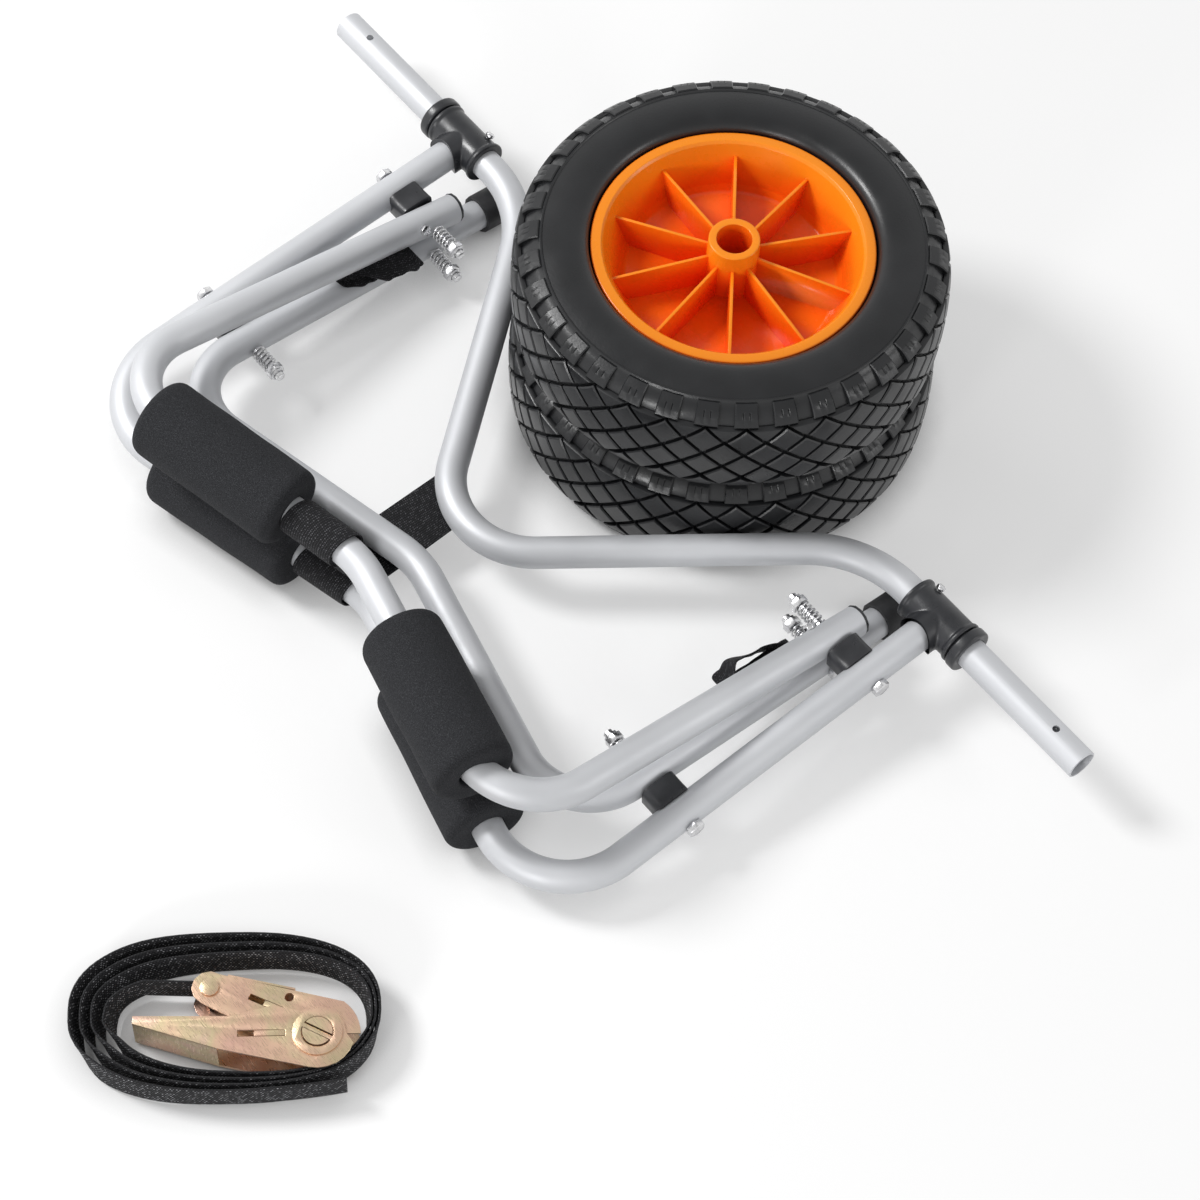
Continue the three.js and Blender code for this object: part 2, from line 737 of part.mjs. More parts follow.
// Centre strap: a loop on the lower bar with its run to the axle, and a loop with a drop on the upper bar
const strapMid = (centreStrapInner + centreStrapOuter) / 2;
const strapWidth = centreStrapOuter - centreStrapInner;
const loopInner = clearRadius(tubeRadius / Math.cos(barAngle), centreStrapSlack, centreLoopSides);
const loopOuter = loopInner + centreStrapThickness;
const barShear = new THREE.Matrix4().set(1, 0, 0, 0, barSlope, 1, 0, 0, 0, 0, 1, 0, 0, 0, 0, 1);
function strapLoop() {
  const band = extrude(polygon(loopOuter, centreLoopSides), strapWidth, [polygon(loopInner, centreLoopSides)]);
  return band.translate(0, 0, -strapWidth / 2).rotateY(Math.PI / 2);
}
const runTop = -loopInner * Math.cos(Math.PI / centreLoopSides);
// The run leaves the bottom of the loop, passes under the stand bar and lies along the underside of the axle
const axleLegSlope = axleApexDepth / axleBendX;
const legAngle = Math.atan(axleLegSlope);
const axleApexLine = axleApexDepth - axleApexRadius * (1 / Math.cos(legAngle) - 1);
function axleDepth(x) {
  const arcEnd = axleApexRadius * Math.sin(legAngle);
  if (x > arcEnd) return axleApexDepth - x * axleLegSlope;
  return axleApexLine - (axleApexRadius - Math.sqrt(axleApexRadius ** 2 - x ** 2));
}
function strapRun() {
  const side = ([depth, height], plane) => {
    const p = new THREE.Vector3(0, -depth, height).applyMatrix4(plane);
    return new THREE.Vector2(p.y, p.z);
  };
  const top = [
    side([lowerApexDepth + centreStrapOuter * barSlope, runTop], lowerPlane),
    side([lowerApexDepth + centreStrapInner * barSlope - centreStrapLevel, runTop], lowerPlane),
    side([standApexDepth + centreStrapOuter * barSlope, -tubeSeat], standPlane),
    side([standApexDepth, -tubeSeat], standPlane),
    side([axleDepth(centreStrapInner) + centreStrapThickness, -tubeSeat], axlePlane),
    side([axleDepth(centreStrapOuter) - centreStrapThickness, -tubeSeat], axlePlane),
  ];
  const bottom = top.map((p) => p.clone().sub(new THREE.Vector2(0, centreStrapThickness)));
  const band = extrude([...top, ...bottom.reverse()], strapWidth)
    .applyMatrix4(new THREE.Matrix4().set(0, 0, 1, 0, 1, 0, 0, 0, 0, 1, 0, 0, 0, 0, 0, 1))
    .translate(-centreStrapOuter, 0, 0);
  const reach = 2 * axleHeight;
  const trim = extrude([
    new THREE.Vector2(-centreStrapOuter - cutOverrun, -axleDepth(centreStrapOuter + cutOverrun)),
    new THREE.Vector2(-centreStrapInner + cutOverrun, -axleDepth(centreStrapInner)),
    new THREE.Vector2(-centreStrapInner + cutOverrun, cutOverrun),
    new THREE.Vector2(-centreStrapOuter - cutOverrun, cutOverrun),
  ], 2 * reach).translate(0, 0, -reach);
  return cut(band, trim);
}
const lowerLoop = place(strapLoop(), shift(-strapMid, 0, 0), barShear, shift(0, -lowerApexDepth, 0));
add('centre_strap', join(place(lowerLoop, lowerPlane), strapRun()), webbing);

const upperBar = new THREE.Vector3(0, -upperApexDepth - strapMid * barSlope, 0).applyMatrix4(upperPlane);
const lowerBar = onLower(0, -lowerApexDepth - strapMid * barSlope, 0);
const dropLength = upperBar.z - lowerBar.z - loopOuter - loopInner - centreStrapThickness;
const drop = new THREE.BoxGeometry(strapWidth, centreStrapThickness, dropLength)
  .translate(-strapMid, 0, -dropLength / 2 - (loopInner + loopOuter) / 2);
add('centre_strap_upper', join(
  place(strapLoop(), shift(-strapMid, 0, 0), barShear),
  place(drop, barShear, turnX(upperTilt)),
), webbing, shift(0, -upperApexDepth, 0), upperPlane);

// Side straps: folded once between the stand arm and the upper arm
function sideStrapBody() {
  const lowLine = (d) => {
    const p = new THREE.Vector3(0, standPivotDepth - d, tubeSeat).applyMatrix4(standPlane);
    return new THREE.Vector2(p.y, p.z);
  };
  const highLine = (d) => {
    const p = new THREE.Vector3(0, upperPivotDepth - d, -tubeSeat).applyMatrix4(upperPlane);
    return new THREE.Vector2(p.y, p.z);
  };
  const lowA = lowLine(sideStrapStart);
  const lowB = lowLine(sideStrapEnd);
  const highA = highLine(sideStrapStart);
  const highB = highLine(sideStrapEnd);
  const centre = lowB.clone().add(highB).multiplyScalar(0.5);
  const foldRadius = lowB.distanceTo(highB) / 2;
  const begin = lowB.clone().sub(centre).angle();
  const outer = [lowA];
  const inner = [];
  for (let i = 0; i <= sideStrapFoldSteps; i += 1) {
    const angle = begin - (Math.PI * i) / sideStrapFoldSteps;
    const spoke = new THREE.Vector2(Math.cos(angle), Math.sin(angle));
    outer.push(centre.clone().addScaledVector(spoke, foldRadius));
    inner.push(centre.clone().addScaledVector(spoke, foldRadius - sideStrapThickness));
  }
  outer.push(highA);
  const offset = (from, to, turned) => to.clone().sub(from).normalize()
    .rotateAround(new THREE.Vector2(), turned).multiplyScalar(sideStrapThickness);
  inner.push(highA.clone().add(offset(highB, highA, -Math.PI / 2)));
  inner.unshift(lowA.clone().add(offset(lowB, lowA, Math.PI / 2)));
  const profile = [...outer, ...inner.reverse()];
  return extrude(profile, sideStrapWidth)
    .applyMatrix4(new THREE.Matrix4().set(0, 0, 1, 0, 1, 0, 0, 0, 0, 1, 0, 0, 0, 0, 0, 1));
}
for (const [name, side] of sides) {
  const edge = upperHalfWidth + sideStrapInset[name];
  const from = side > 0 ? edge - sideStrapWidth : -edge;
  add(`side_strap_${name}`, sideStrapBody(), webbing, shift(from, 0, 0));
}

// Wheels: rim with a dished, ribbed face on both sides, and a solid tyre; they lie beside the V of the axle
const legsToWheel = tyreRadius + tubeRadius + tyreToAxleGap;
const wheelCentreY = axleApexDepth * (legsToWheel * Math.hypot(1 / axleApexDepth, 1 / axleBendX) - 1);
const halfTyre = tyreWidth / 2;
const lipTop = halfTyre - rimLipInset;
const lipUnder = lipTop - rimLipThickness;
const rimBore = clearRadius(tubeRadius, hubClearance, hubSides);
const mouthRadius = rimLipRadius - rimLipWidth;
const barrelFoot = rimFootRadius + rimFootStep + rimWallThickness;
const webHalf = webThickness / 2;
function mirrored(profile) {
  const below = profile.map(([r, z]) => [r, -z]).reverse();
  return ring([...profile, ...below]);
}
function rimBody() {
  const face = [
    [hubRadius - seatGap, webHalf],
    [rimFootRadius, webHalf],
    [rimFootRadius + rimFootStep, webHalf + rimFootRise],
    [mouthRadius, lipTop - rimMouthSlant],
    [mouthRadius + rimMouthSlant, lipTop],
    [rimLipRadius, lipTop],
    [rimLipRadius, lipUnder],
    [barrelFoot, webHalf + rimFootRise],
  ];
  const dish = revolve(mirrored(face), rimSides);
  const hub = cut(rod(hubRadius, tyreWidth, hubSides, 'z'), rod(rimBore, tyreWidth + cutOverrun, hubSides, 'z'));
  const wallSlope = (mouthRadius - rimFootRadius - rimFootStep) / (lipTop - rimMouthSlant - webHalf - rimFootRise);
  const ribTop = halfTyre - ribWallDrop;
  const wallAt = rimFootRadius + rimFootStep + wallSlope * (ribTop - webHalf - rimFootRise);
  const sink = rimWallThickness / 3;
  const outline = [
    new THREE.Vector2(hubRadius - sink, 0),
    new THREE.Vector2(rimFootRadius + sink, 0),
    new THREE.Vector2(rimFootRadius + rimFootStep + sink, webHalf + rimFootRise),
    new THREE.Vector2(wallAt + sink, ribTop),
    new THREE.Vector2(hubRadius - sink, halfTyre - ribHubDrop),
  ];
  const rib = extrude(outline, ribThickness).translate(0, 0, -ribThickness / 2).rotateX(Math.PI / 2);
  const ribs = [];
  for (let i = 0; i < ribCount; i += 1) {
    const spin = turnZ(radians(ribPhaseDegrees) + (2 * Math.PI * i) / ribCount);
    ribs.push(place(rib, spin), place(rib, new THREE.Matrix4().makeScale(1, 1, flip), spin));
  }
  return join(dish, hub, ...ribs);
}
function tyreBody() {
  const seat = (r) => clearRadius(r, seatGap, rimSides) + seatGap;
  const ringZ = halfTyre - ringDrop;
  const shoulderZ = halfTyre - shoulderDrop;
  const profile = [
    [seat(barrelFoot), webHalf + rimFootRise],
    [seat(rimLipRadius), lipUnder - seatGap],
    [seat(rimLipRadius), lipTop - seatGap],
    [tyreBeadOuter, halfTyre - beadDrop],
    [tyreBulgeRadius, halfTyre - bulgeDrop],
    [tyreRingRadius, ringZ],
    [tyreShoulderRadius, shoulderZ],
    [tyreRadius - crownDrop, crownHalfWidth],
  ];
  const below = profile.map(([r, z]) => [r, -z]).reverse();
  const tyre = revolve(ring([...profile, [tyreRadius, 0], ...below]), wheelSides);
  const width = (2 * Math.PI * tyreRadius * lugGapShare) / lugCount;
  const floorFall = Math.atan2(ringZ - shoulderZ + lugDepth, tyreShoulderRadius - tyreRingRadius);
  const reach = 2 * (tyreRadius - tyreRingRadius);
  const notch = new THREE.BoxGeometry(reach, width, reach)
    .translate(reach / 2, 0, reach / 2)
    .rotateY(floorFall)
    .translate(tyreRingRadius * Math.cos(Math.PI / wheelSides) + seatGap, 0, ringZ);
  const notches = [];
  for (let i = 0; i < lugCount; i += 1) {
    const spin = turnZ((2 * Math.PI * (i + 0.5)) / lugCount);
    notches.push(place(notch, spin), place(notch, new THREE.Matrix4().makeScale(1, 1, flip), spin));
  }
  return cut(tyre, ...notches);
}
const rim = rimBody();
const tyre = tyreBody();
const wheels = [['lower', halfTyre], ['upper', 3 * halfTyre + seatGap]];
for (const [name, z] of wheels) {
  add(`rim_${name}`, rim, orangePlastic, shift(0, wheelCentreY, z));
  add(`tyre_${name}`, tyre, tyreRubber, shift(0, wheelCentreY, z));
}

// Wound webbing of the tie-down strap: an oval spiral on edge, starting round the rivet of the ratchet
const coilSpot = [turnZ(radians(coilTurnDegrees)), shift(coilCentreX, coilCentreY, 0)];
const plateStep = plateThickness + plateGap;
const ratchetHeight = webbingWidth + 2 * webbingPlay + 4 * plateThickness + 2 * plateGap;
const ratchetLift = spindleProud + spindleFlangeThickness + plateGap;
const rivetPoint = new THREE.Vector2(basePlateLength, 0)
  .rotateAround(new THREE.Vector2(), radians(baseAngleDegrees))
  .add(new THREE.Vector2(spindleX, spindleY));
const rounded = (value) => Math.sign(value) * Math.abs(value) ** coilFullness;
function coilPoint(turn) {
  const angle = 2 * Math.PI * turn;
  const loose = (1 - Math.cos(angle - radians(coilTightDegrees))) / 2;
  const pitch = coilPitchTight + (coilPitchLoose - coilPitchTight) * loose;
  const reach = (coilTurns - turn) * pitch + webbingThickness / 2;
  return new THREE.Vector2(
    (coilHalfLength - reach) * rounded(Math.cos(angle)),
    (coilHalfWidth - reach) * rounded(Math.sin(angle)),
  );
}
function coilLine() {
  const points = [];
  const wrap = rivetRadius + seatGap + webbingThickness / 2;
  for (let i = 0; i <= leadWrapSteps; i += 1) {
    const angle = Math.PI / 2 - radians(leadWrapDegrees) * (1 - i / leadWrapSteps);
    points.push(new THREE.Vector2(Math.cos(angle), Math.sin(angle)).multiplyScalar(wrap).add(rivetPoint));
  }
  const leave = points[points.length - 1].clone();
  const join = coilPoint(coilFirstTurn);
  points.push(leave.lerp(join, 0.5));
  const steps = Math.round((coilLastTurn - coilFirstTurn) * coilStepsPerTurn);
  for (let i = 0; i <= steps; i += 1) {
    points.push(coilPoint(coilFirstTurn + ((coilLastTurn - coilFirstTurn) * i) / steps));
  }
  const last = points[points.length - 1];
  const heading = last.clone().sub(points[points.length - 2]).normalize();
  for (let i = 1; i <= coilTailSteps; i += 1) {
    const share = i / coilTailSteps;
    points.push(last.clone().addScaledVector(heading, coilTailLength * share)
      .add(new THREE.Vector2(0, coilTailLift * share * share)));
  }
  return points;
}
function ribbon(points, thickness, width) {
  const left = [];
  const right = [];
  points.forEach((p, i) => {
    const before = points[Math.max(0, i - 1)];
    const after = points[Math.min(points.length - 1, i + 1)];
    const heading = after.clone().sub(before).normalize();
    const normal = new THREE.Vector2(-heading.y, heading.x).multiplyScalar(thickness / 2);
    left.push(p.clone().add(normal));
    right.push(p.clone().sub(normal));
  });
  return extrude([...left, ...right.reverse()], width);
}
// The coil lies on the floor at one end and on the ratchet's lower plate at the other;
// its first stretch stands at the height of the rivet and comes down within half a turn
function settle(geometry, points, raised, settled, height) {
  const p = geometry.attributes.position;
  const spot = new THREE.Vector2();
  for (let i = 0; i < p.count; i += 1) {
    spot.set(p.getX(i), p.getY(i));
    let nearest = 0;
    points.forEach((q, k) => {
      if (q.distanceTo(spot) < points[nearest].distanceTo(spot)) nearest = k;
    });
    const share = THREE.MathUtils.clamp((settled - nearest) / (settled - raised), 0, 1);
    const lean = THREE.MathUtils.clamp((spot.x + coilHalfLength) / (coilLeanEnd + coilHalfLength), 0, 1);
    p.setZ(i, p.getZ(i) + height * Math.max(share, lean));
  }
  return geometry;
}
const coilPath = coilLine();
let coilGap = Infinity;
for (let i = 0; i < coilPath.length - 1; i += 1) {
  for (let k = i + coilStepsPerTurn / 2; k < coilPath.length; k += 1) {
    const span = coilPath[i + 1].clone().sub(coilPath[i]);
    const away = coilPath[k].clone().sub(coilPath[i]);
    const share = THREE.MathUtils.clamp(away.dot(span) / span.lengthSq(), 0, 1);
    coilGap = Math.min(coilGap, away.addScaledVector(span, -share).length() - webbingThickness);
  }
}
const coilLength = coilPath.slice(1).reduce((sum, p, i) => sum + p.distanceTo(coilPath[i]), 0);
console.log('webbing: least gap between turns', coilGap.toFixed(2), 'mm, length', coilLength.toFixed(0), 'mm');
const rivetLevel = ratchetLift + plateStep + plateThickness + webbingPlay;
const leadPoints = leadWrapSteps + 2;
add('tie_down_webbing', settle(
  ribbon(coilPath, webbingThickness, webbingWidth), coilPath, leadPoints, leadPoints + leadSettleSteps, rivetLevel,
), webbing, ...coilSpot);

// Ratchet, laid on its side: spindle upright, base plates inside the handle plates
const ratchetSpot = [shift(spindleX, spindleY, ratchetLift), ...coilSpot];
const spindleHole = clearRadius(spindleBarRadius, runGap, spindleSides);
const handleLevels = [0, ratchetHeight - plateThickness];
const baseLevels = [plateStep, ratchetHeight - plateThickness - plateStep];
const wheelLevels = [2 * plateStep, ratchetHeight - plateThickness - 2 * plateStep];

function arcPoints(centre, radius, from, to) {
  return Array.from({ length: plateArcSteps + 1 }, (_, i) => {
    const angle = from + ((to - from) * i) / plateArcSteps;
    return new THREE.Vector2(centre.x + radius * Math.cos(angle), centre.y + radius * Math.sin(angle));
  });
}
function slotHole(side) {
  const half = pawlSlotWidth / 2;
  return [
    new THREE.Vector2(pawlSlotStart, side - half),
    new THREE.Vector2(pawlSlotEnd, side - half),
    new THREE.Vector2(pawlSlotEnd, side + half),
    new THREE.Vector2(pawlSlotStart, side + half),
  ];
}

// Base plates are drawn along +X from the spindle and then turned to their angle
const baseLean = Math.asin((basePlateHead - basePlateTail) / basePlateLength);
function basePlate(z) {
  const quarter = Math.PI / 2;
  const tail = new THREE.Vector2(basePlateLength, 0);
  const headStart = radians(basePlateHeadStart);
  const outline = [
    ...arcPoints(new THREE.Vector2(), basePlateNeck, quarter, headStart),
    ...arcPoints(new THREE.Vector2(), basePlateHead, headStart, 3 * quarter - baseLean),
    ...arcPoints(tail, basePlateTail, -quarter - baseLean, quarter),
    new THREE.Vector2(baseShoulderX, baseShoulderY),
    new THREE.Vector2(baseWaistX, baseWaistY),
  ];
  const rivetHole = polygon(clearRadius(rivetRadius, runGap, boltSides), boltSides).map((p) => p.add(tail));
  const peep = polygon(peepHoleRadius, boltSides)
    .map((p) => p.add(new THREE.Vector2(peepHoleAt, -peepHoleSide)));
  const holes = [polygon(spindleHole, spindleSides), slotHole(-pawlSlotSide), rivetHole, peep];
  return extrude(outline, plateThickness, holes).translate(0, 0, z);
}
function baseBody() {
  const low = baseLevels[0];
  const high = baseLevels[1] + plateThickness;
  const web = new THREE.BoxGeometry(baseWebEnd - baseWebStart, plateThickness, high - low)
    .translate((baseWebStart + baseWebEnd) / 2, plateThickness / 2 - basePlateHead, (high + low) / 2)
    .applyMatrix4(turnZ(baseLean));
  return place(join(...baseLevels.map(basePlate), web), turnZ(radians(baseAngleDegrees)));
}
const handleHeel = new THREE.Vector2(-handleHeelX, -handleHeelLow);
const handleTip = new THREE.Vector2(-handleTipX, handleTipLow);
function handlePlate(z) {
  const outline = [
    ...arcPoints(new THREE.Vector2(), handleHead, radians(handleHeadStart), radians(handleHeadEnd)),
    ...arcPoints(new THREE.Vector2(), handleCrown, 0, radians(handleCrownEnd)),
    new THREE.Vector2(-handleNeckX, handleNeckTop),
    new THREE.Vector2(-handleGripX, handleGripTop),
    new THREE.Vector2(-handleTipX, handleTipTop),
    handleTip,
    handleHeel,
  ];
  const slot = slotHole(0).map((p) => p.rotateAround(new THREE.Vector2(), radians(handlePawlAngleDegrees)));
  const holes = [polygon(spindleHole, spindleSides), slot];
  return extrude(outline, plateThickness, holes).translate(0, 0, z);
}
function handleBody() {
  const run = handleHeel.clone().sub(handleTip);
  const web = new THREE.BoxGeometry(run.length(), plateThickness, ratchetHeight)
    .translate(run.length() / 2, plateThickness / 2, ratchetHeight / 2);
  return join(...handleLevels.map(handlePlate), place(web, turnZ(run.angle()), shift(handleTip.x, handleTip.y, 0)));
}
function spindleBody() {
  const length = ratchetHeight + 2 * ratchetLift;
  const bar = place(rod(spindleBarRadius, length, spindleSides, 'z'), shift(0, 0, ratchetHeight / 2));
  const slit = new THREE.BoxGeometry(2 * (spindleBarRadius + cutOverrun), spindleSlot, length + cutOverrun)
    .translate(0, 0, ratchetHeight / 2);
  const lap = spindleBarRadius - spindleFlangeLap;
  const teeth = [];
  for (let i = 0; i < ratchetTeeth; i += 1) {
    const angle = (2 * Math.PI * i) / ratchetTeeth;
    const next = (2 * Math.PI * (i + 1)) / ratchetTeeth;
    const root = ratchetWheelRadius - ratchetToothDepth;
    teeth.push(new THREE.Vector2(ratchetWheelRadius * Math.cos(angle), ratchetWheelRadius * Math.sin(angle)));
    teeth.push(new THREE.Vector2(root * Math.cos(next), root * Math.sin(next)));
  }
  const opening = () => polygon(lap, spindleSides);
  const wheelsOn = wheelLevels.map((z) => extrude(teeth, plateThickness, [opening()]).translate(0, 0, z));
  const flanges = [-spindleFlangeThickness - plateGap, ratchetHeight + plateGap].map((z) => extrude(
    polygon(spindleFlangeRadius, spindleSides), spindleFlangeThickness, [opening()],
  ).translate(0, 0, z));
  return join(cut(bar, place(slit, turnZ(radians(spindleSlotDegrees)))), ...wheelsOn, ...flanges);
}
// Sliding pawl: a cross plate between the side plates with a finger in each plate's slot;
// the base pawl also reaches in with a nose that stops just short of the ratchet teeth
function pawlBody(levels, withNose) {
  const start = pawlSlotStart + seatGap;
  const end = start + pawlFingerLength;
  const low = levels[0] + plateThickness;
  const high = levels[1];
  const slab = (from, to, bottom, top) => new THREE.BoxGeometry(to - from, pawlThickness, top - bottom)
    .translate((from + to) / 2, 0, (bottom + top) / 2);
  const parts = levels.map((z) => slab(start, end, z, z + plateThickness));
  parts.push(slab(end - pawlCrossLength, end, low - runGap, high + runGap));
  if (withNose) {
    parts.push(slab(ratchetWheelRadius + seatGap, end, low + seatGap, high - seatGap));
  }
  return join(...parts);
}
add('ratchet_base', baseBody(), zincYellow, ...ratchetSpot);
add('ratchet_handle', handleBody(), zincYellow, ...ratchetSpot);
add('ratchet_spindle', spindleBody(), zincYellow, ...ratchetSpot);
add('ratchet_pawl', pawlBody(baseLevels, true), zincYellow, shift(0, -pawlSlotSide, 0),
  turnZ(radians(baseAngleDegrees)), ...ratchetSpot);
add('ratchet_handle_pawl', pawlBody(handleLevels, false), zincYellow,
  turnZ(radians(handlePawlAngleDegrees)), ...ratchetSpot);
const rivetHigh = baseLevels[1] + plateThickness + seatGap;
const rivetLow = baseLevels[0] - seatGap;
const rivetShank = place(rod(rivetRadius, rivetHigh - rivetLow + runGap, boltSides, 'z'),
  shift(0, 0, (rivetHigh + rivetLow) / 2));
const rivetHeads = [rivetLow - rivetHeadHeight / 2, rivetHigh + rivetHeadHeight / 2]
  .map((z) => place(rod(rivetHeadRadius, rivetHeadHeight, plugSides, 'z'), shift(0, 0, z)));
add('ratchet_rivet', join(rivetShank, ...rivetHeads), zincYellow,
  shift(basePlateLength, 0, 0), turnZ(radians(baseAngleDegrees)), ...ratchetSpot);

// Set the origin at the middle of the footprint, on the floor
const box = new THREE.Box3();
for (const mesh of group.children) {
  mesh.geometry.computeBoundingBox();
  box.union(mesh.geometry.boundingBox);
}
const middle = box.getCenter(new THREE.Vector3());
for (const mesh of group.children) {
  mesh.geometry.translate(-middle.x, -middle.y, -box.min.z);
  mesh.geometry.computeVertexNormals();
}
const stated = [['upper pivot', upperPivot], ['stand pivot', standPivot]];
for (const [name, p] of stated) {
  console.log(name, 'at y', (p.y - middle.y).toFixed(3), 'z', (p.z - box.min.z).toFixed(3), 'mm');
}
const spindleAt = new THREE.Vector3();
for (const matrix of ratchetSpot) spindleAt.applyMatrix4(matrix);
console.log('spindle at', (spindleAt.x - middle.x).toFixed(3), (spindleAt.y - middle.y).toFixed(3), 'mm');
console.log('wheel axis at', (-middle.x).toFixed(3), (wheelCentreY - middle.y).toFixed(3), 'mm');
console.log('tilts', [lowerTilt, upperTilt, standTilt].map((a) => THREE.MathUtils.radToDeg(a).toFixed(3)).join(' '));

export default group;
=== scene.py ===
"""Looks of the folding kayak cart, stored flat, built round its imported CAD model. Metres, +Z up."""

import json
import math

import bmesh
import bpy
from mathutils import Matrix, Vector, noise


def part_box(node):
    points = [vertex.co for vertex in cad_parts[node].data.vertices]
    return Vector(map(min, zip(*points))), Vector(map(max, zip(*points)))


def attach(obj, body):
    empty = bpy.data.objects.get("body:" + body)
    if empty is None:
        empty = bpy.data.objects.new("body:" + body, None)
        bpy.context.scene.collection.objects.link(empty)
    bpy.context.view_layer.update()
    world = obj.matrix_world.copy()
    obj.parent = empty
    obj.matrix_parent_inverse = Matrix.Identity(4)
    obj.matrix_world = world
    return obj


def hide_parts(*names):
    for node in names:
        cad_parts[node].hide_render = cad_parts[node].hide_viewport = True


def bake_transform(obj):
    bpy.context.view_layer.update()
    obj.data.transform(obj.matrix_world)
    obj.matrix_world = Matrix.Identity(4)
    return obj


# Camera of the photograph
CAMERA_AT = Vector((1.09698, -0.85163, 2.27757))
CAMERA_AIM = Vector((0.09466, 0.08544, 0.0))
CAMERA_ROLL = math.radians(4.322)
LENS = 101.19
SENSOR = 36.0

# Tubing of the axle and the frames
TUBE = 0.0127
WALL = 0.00165
TUBE_SIDES = 36
BEND_STEP = math.radians(3)
END_CHAMFER = 0.0004
AXLE_DIP = math.radians(2.4)
AXLE_HALF = 0.455
AXLE_BEND = 0.211
AXLE_APEX = 0.269
AXLE_RADII = (0.100, 0.067, 0.100)
LINCH_INSET = 0.031
LINCH_RADIUS = 0.003
PIN_HOLE_SIDES = 24
LOWER_HALF = 0.294
UPPER_HALF = 0.252
BAR_SLOPE = 0.243
BAR_ANGLE = math.atan(BAR_SLOPE)
APEX_RADIUS = 0.080
LOWER_APEX = 0.325
LOWER_CORNER = 0.064
UPPER_APEX = 0.265
UPPER_CORNER = 0.058
UPPER_TAIL = 0.027
STAND_CORNER = 0.052
UPPER_PIVOT_DEPTH = 0.073
STAND_PIVOT_DEPTH = 0.257
STAND_CLEARANCE = 0.0006

# Foam pads
PAD_RADIUS = 0.033
PAD_LENGTH = 0.136
PAD_ROUND = 0.009
PAD_SIDES = 72
PAD_STEP = 0.004
PAD_BORE_ROUND = 0.002
PAD_BORE_SLACK = 0.0002
PAD_GAP = 0.0003
PAD_FLOOR_GAP = 0.0002
PAD_WAVE = 0.0005
PAD_WAVES_PER_METRE = 30
PAD_WAVES_ROUND = 1.4
LOWER_PAD_AT = {"left": 0.068, "right": 0.081}
UPPER_PAD_AT = {"left": 0.066, "right": 0.073}

# Wheels
TYRE_RADIUS = 0.171
LUGS = 34
TREAD_EDGE = 0.0375
TREAD_ROW = 0.015
RIBS = 10
RIB_PHASE = math.radians(30)
RIB_TALL = 0.037
RIB_HALF = 0.0018
RIB_TAPER = 0.0006
RIM_EDGE = 0.0004
RIM_INNER = 0.0185
RIM_WEB = 0.003
RIM_SIDES = 120
DISH_EDGE = 0.009
FLANGE_RADIUS = 0.1105
FLANGE_LEVEL = 0.044
HUB_BORE = 0.01385
HUB_RADIUS = 0.020
HUB_WAIST = 0.0212
HUB_HALF = 0.052
HUB_SIDES = 64
CROWN_FLAT = 0.027
CROWN_DROP = 0.0012
CROWN_EDGE = 0.016
CROWN_EDGE_DROP = 0.0035
BLOCK_ROUND = 0.0009
BLOCK_DEPTH = 0.0042
BLOCK_SLOPE_SHARE = 0.11
LUG_DEPTH = 0.0065
LUG_SLOPE_SHARE = 0.1
GROOVE_SHARE = 0.85
LUG_SHARE = 0.6

# Springs on the pivot bolts
SPRING_WIRE = 0.0009
SPRING_RADIUS = 0.00575
SPRING_TURNS = 5
SPRING_STEPS = 20
SPRING_SIDES = 10

# How far the strap lies turned on the floor, and the toothed wheels from the spindle's slot
STRAP_TURNED = math.radians(51.6)
WHEEL_TURNED = math.radians(27)

SIDES = (("left", -1), ("right", 1))


def make_camera():
    data = bpy.data.cameras.new("camera")
    data.lens = LENS
    data.sensor_width = SENSOR
    data.sensor_fit = "HORIZONTAL"
    data.clip_start = 0.05
    data.clip_end = 60
    camera = bpy.data.objects.new("camera", data)
    forward = (CAMERA_AIM - CAMERA_AT).normalized()
    level = forward.cross(Vector((0, 0, 1))).normalized()
    up = level.cross(forward)
    right = math.cos(CAMERA_ROLL) * level + math.sin(CAMERA_ROLL) * up
    top = math.cos(CAMERA_ROLL) * up - math.sin(CAMERA_ROLL) * level
    turned = Matrix((right, top, -forward)).transposed().to_4x4()
    camera.matrix_world = Matrix.Translation(CAMERA_AT) @ turned
    bpy.context.scene.collection.objects.link(camera)
    bpy.context.scene.camera = camera


make_camera()
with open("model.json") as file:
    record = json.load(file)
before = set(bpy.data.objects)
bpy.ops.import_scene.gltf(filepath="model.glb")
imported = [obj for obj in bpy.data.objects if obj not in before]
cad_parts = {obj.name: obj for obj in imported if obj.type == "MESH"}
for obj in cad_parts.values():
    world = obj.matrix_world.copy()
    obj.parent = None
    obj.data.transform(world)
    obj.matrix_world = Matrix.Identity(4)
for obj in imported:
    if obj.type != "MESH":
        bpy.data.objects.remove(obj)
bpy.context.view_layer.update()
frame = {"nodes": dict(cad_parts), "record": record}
nodes = frame["nodes"]


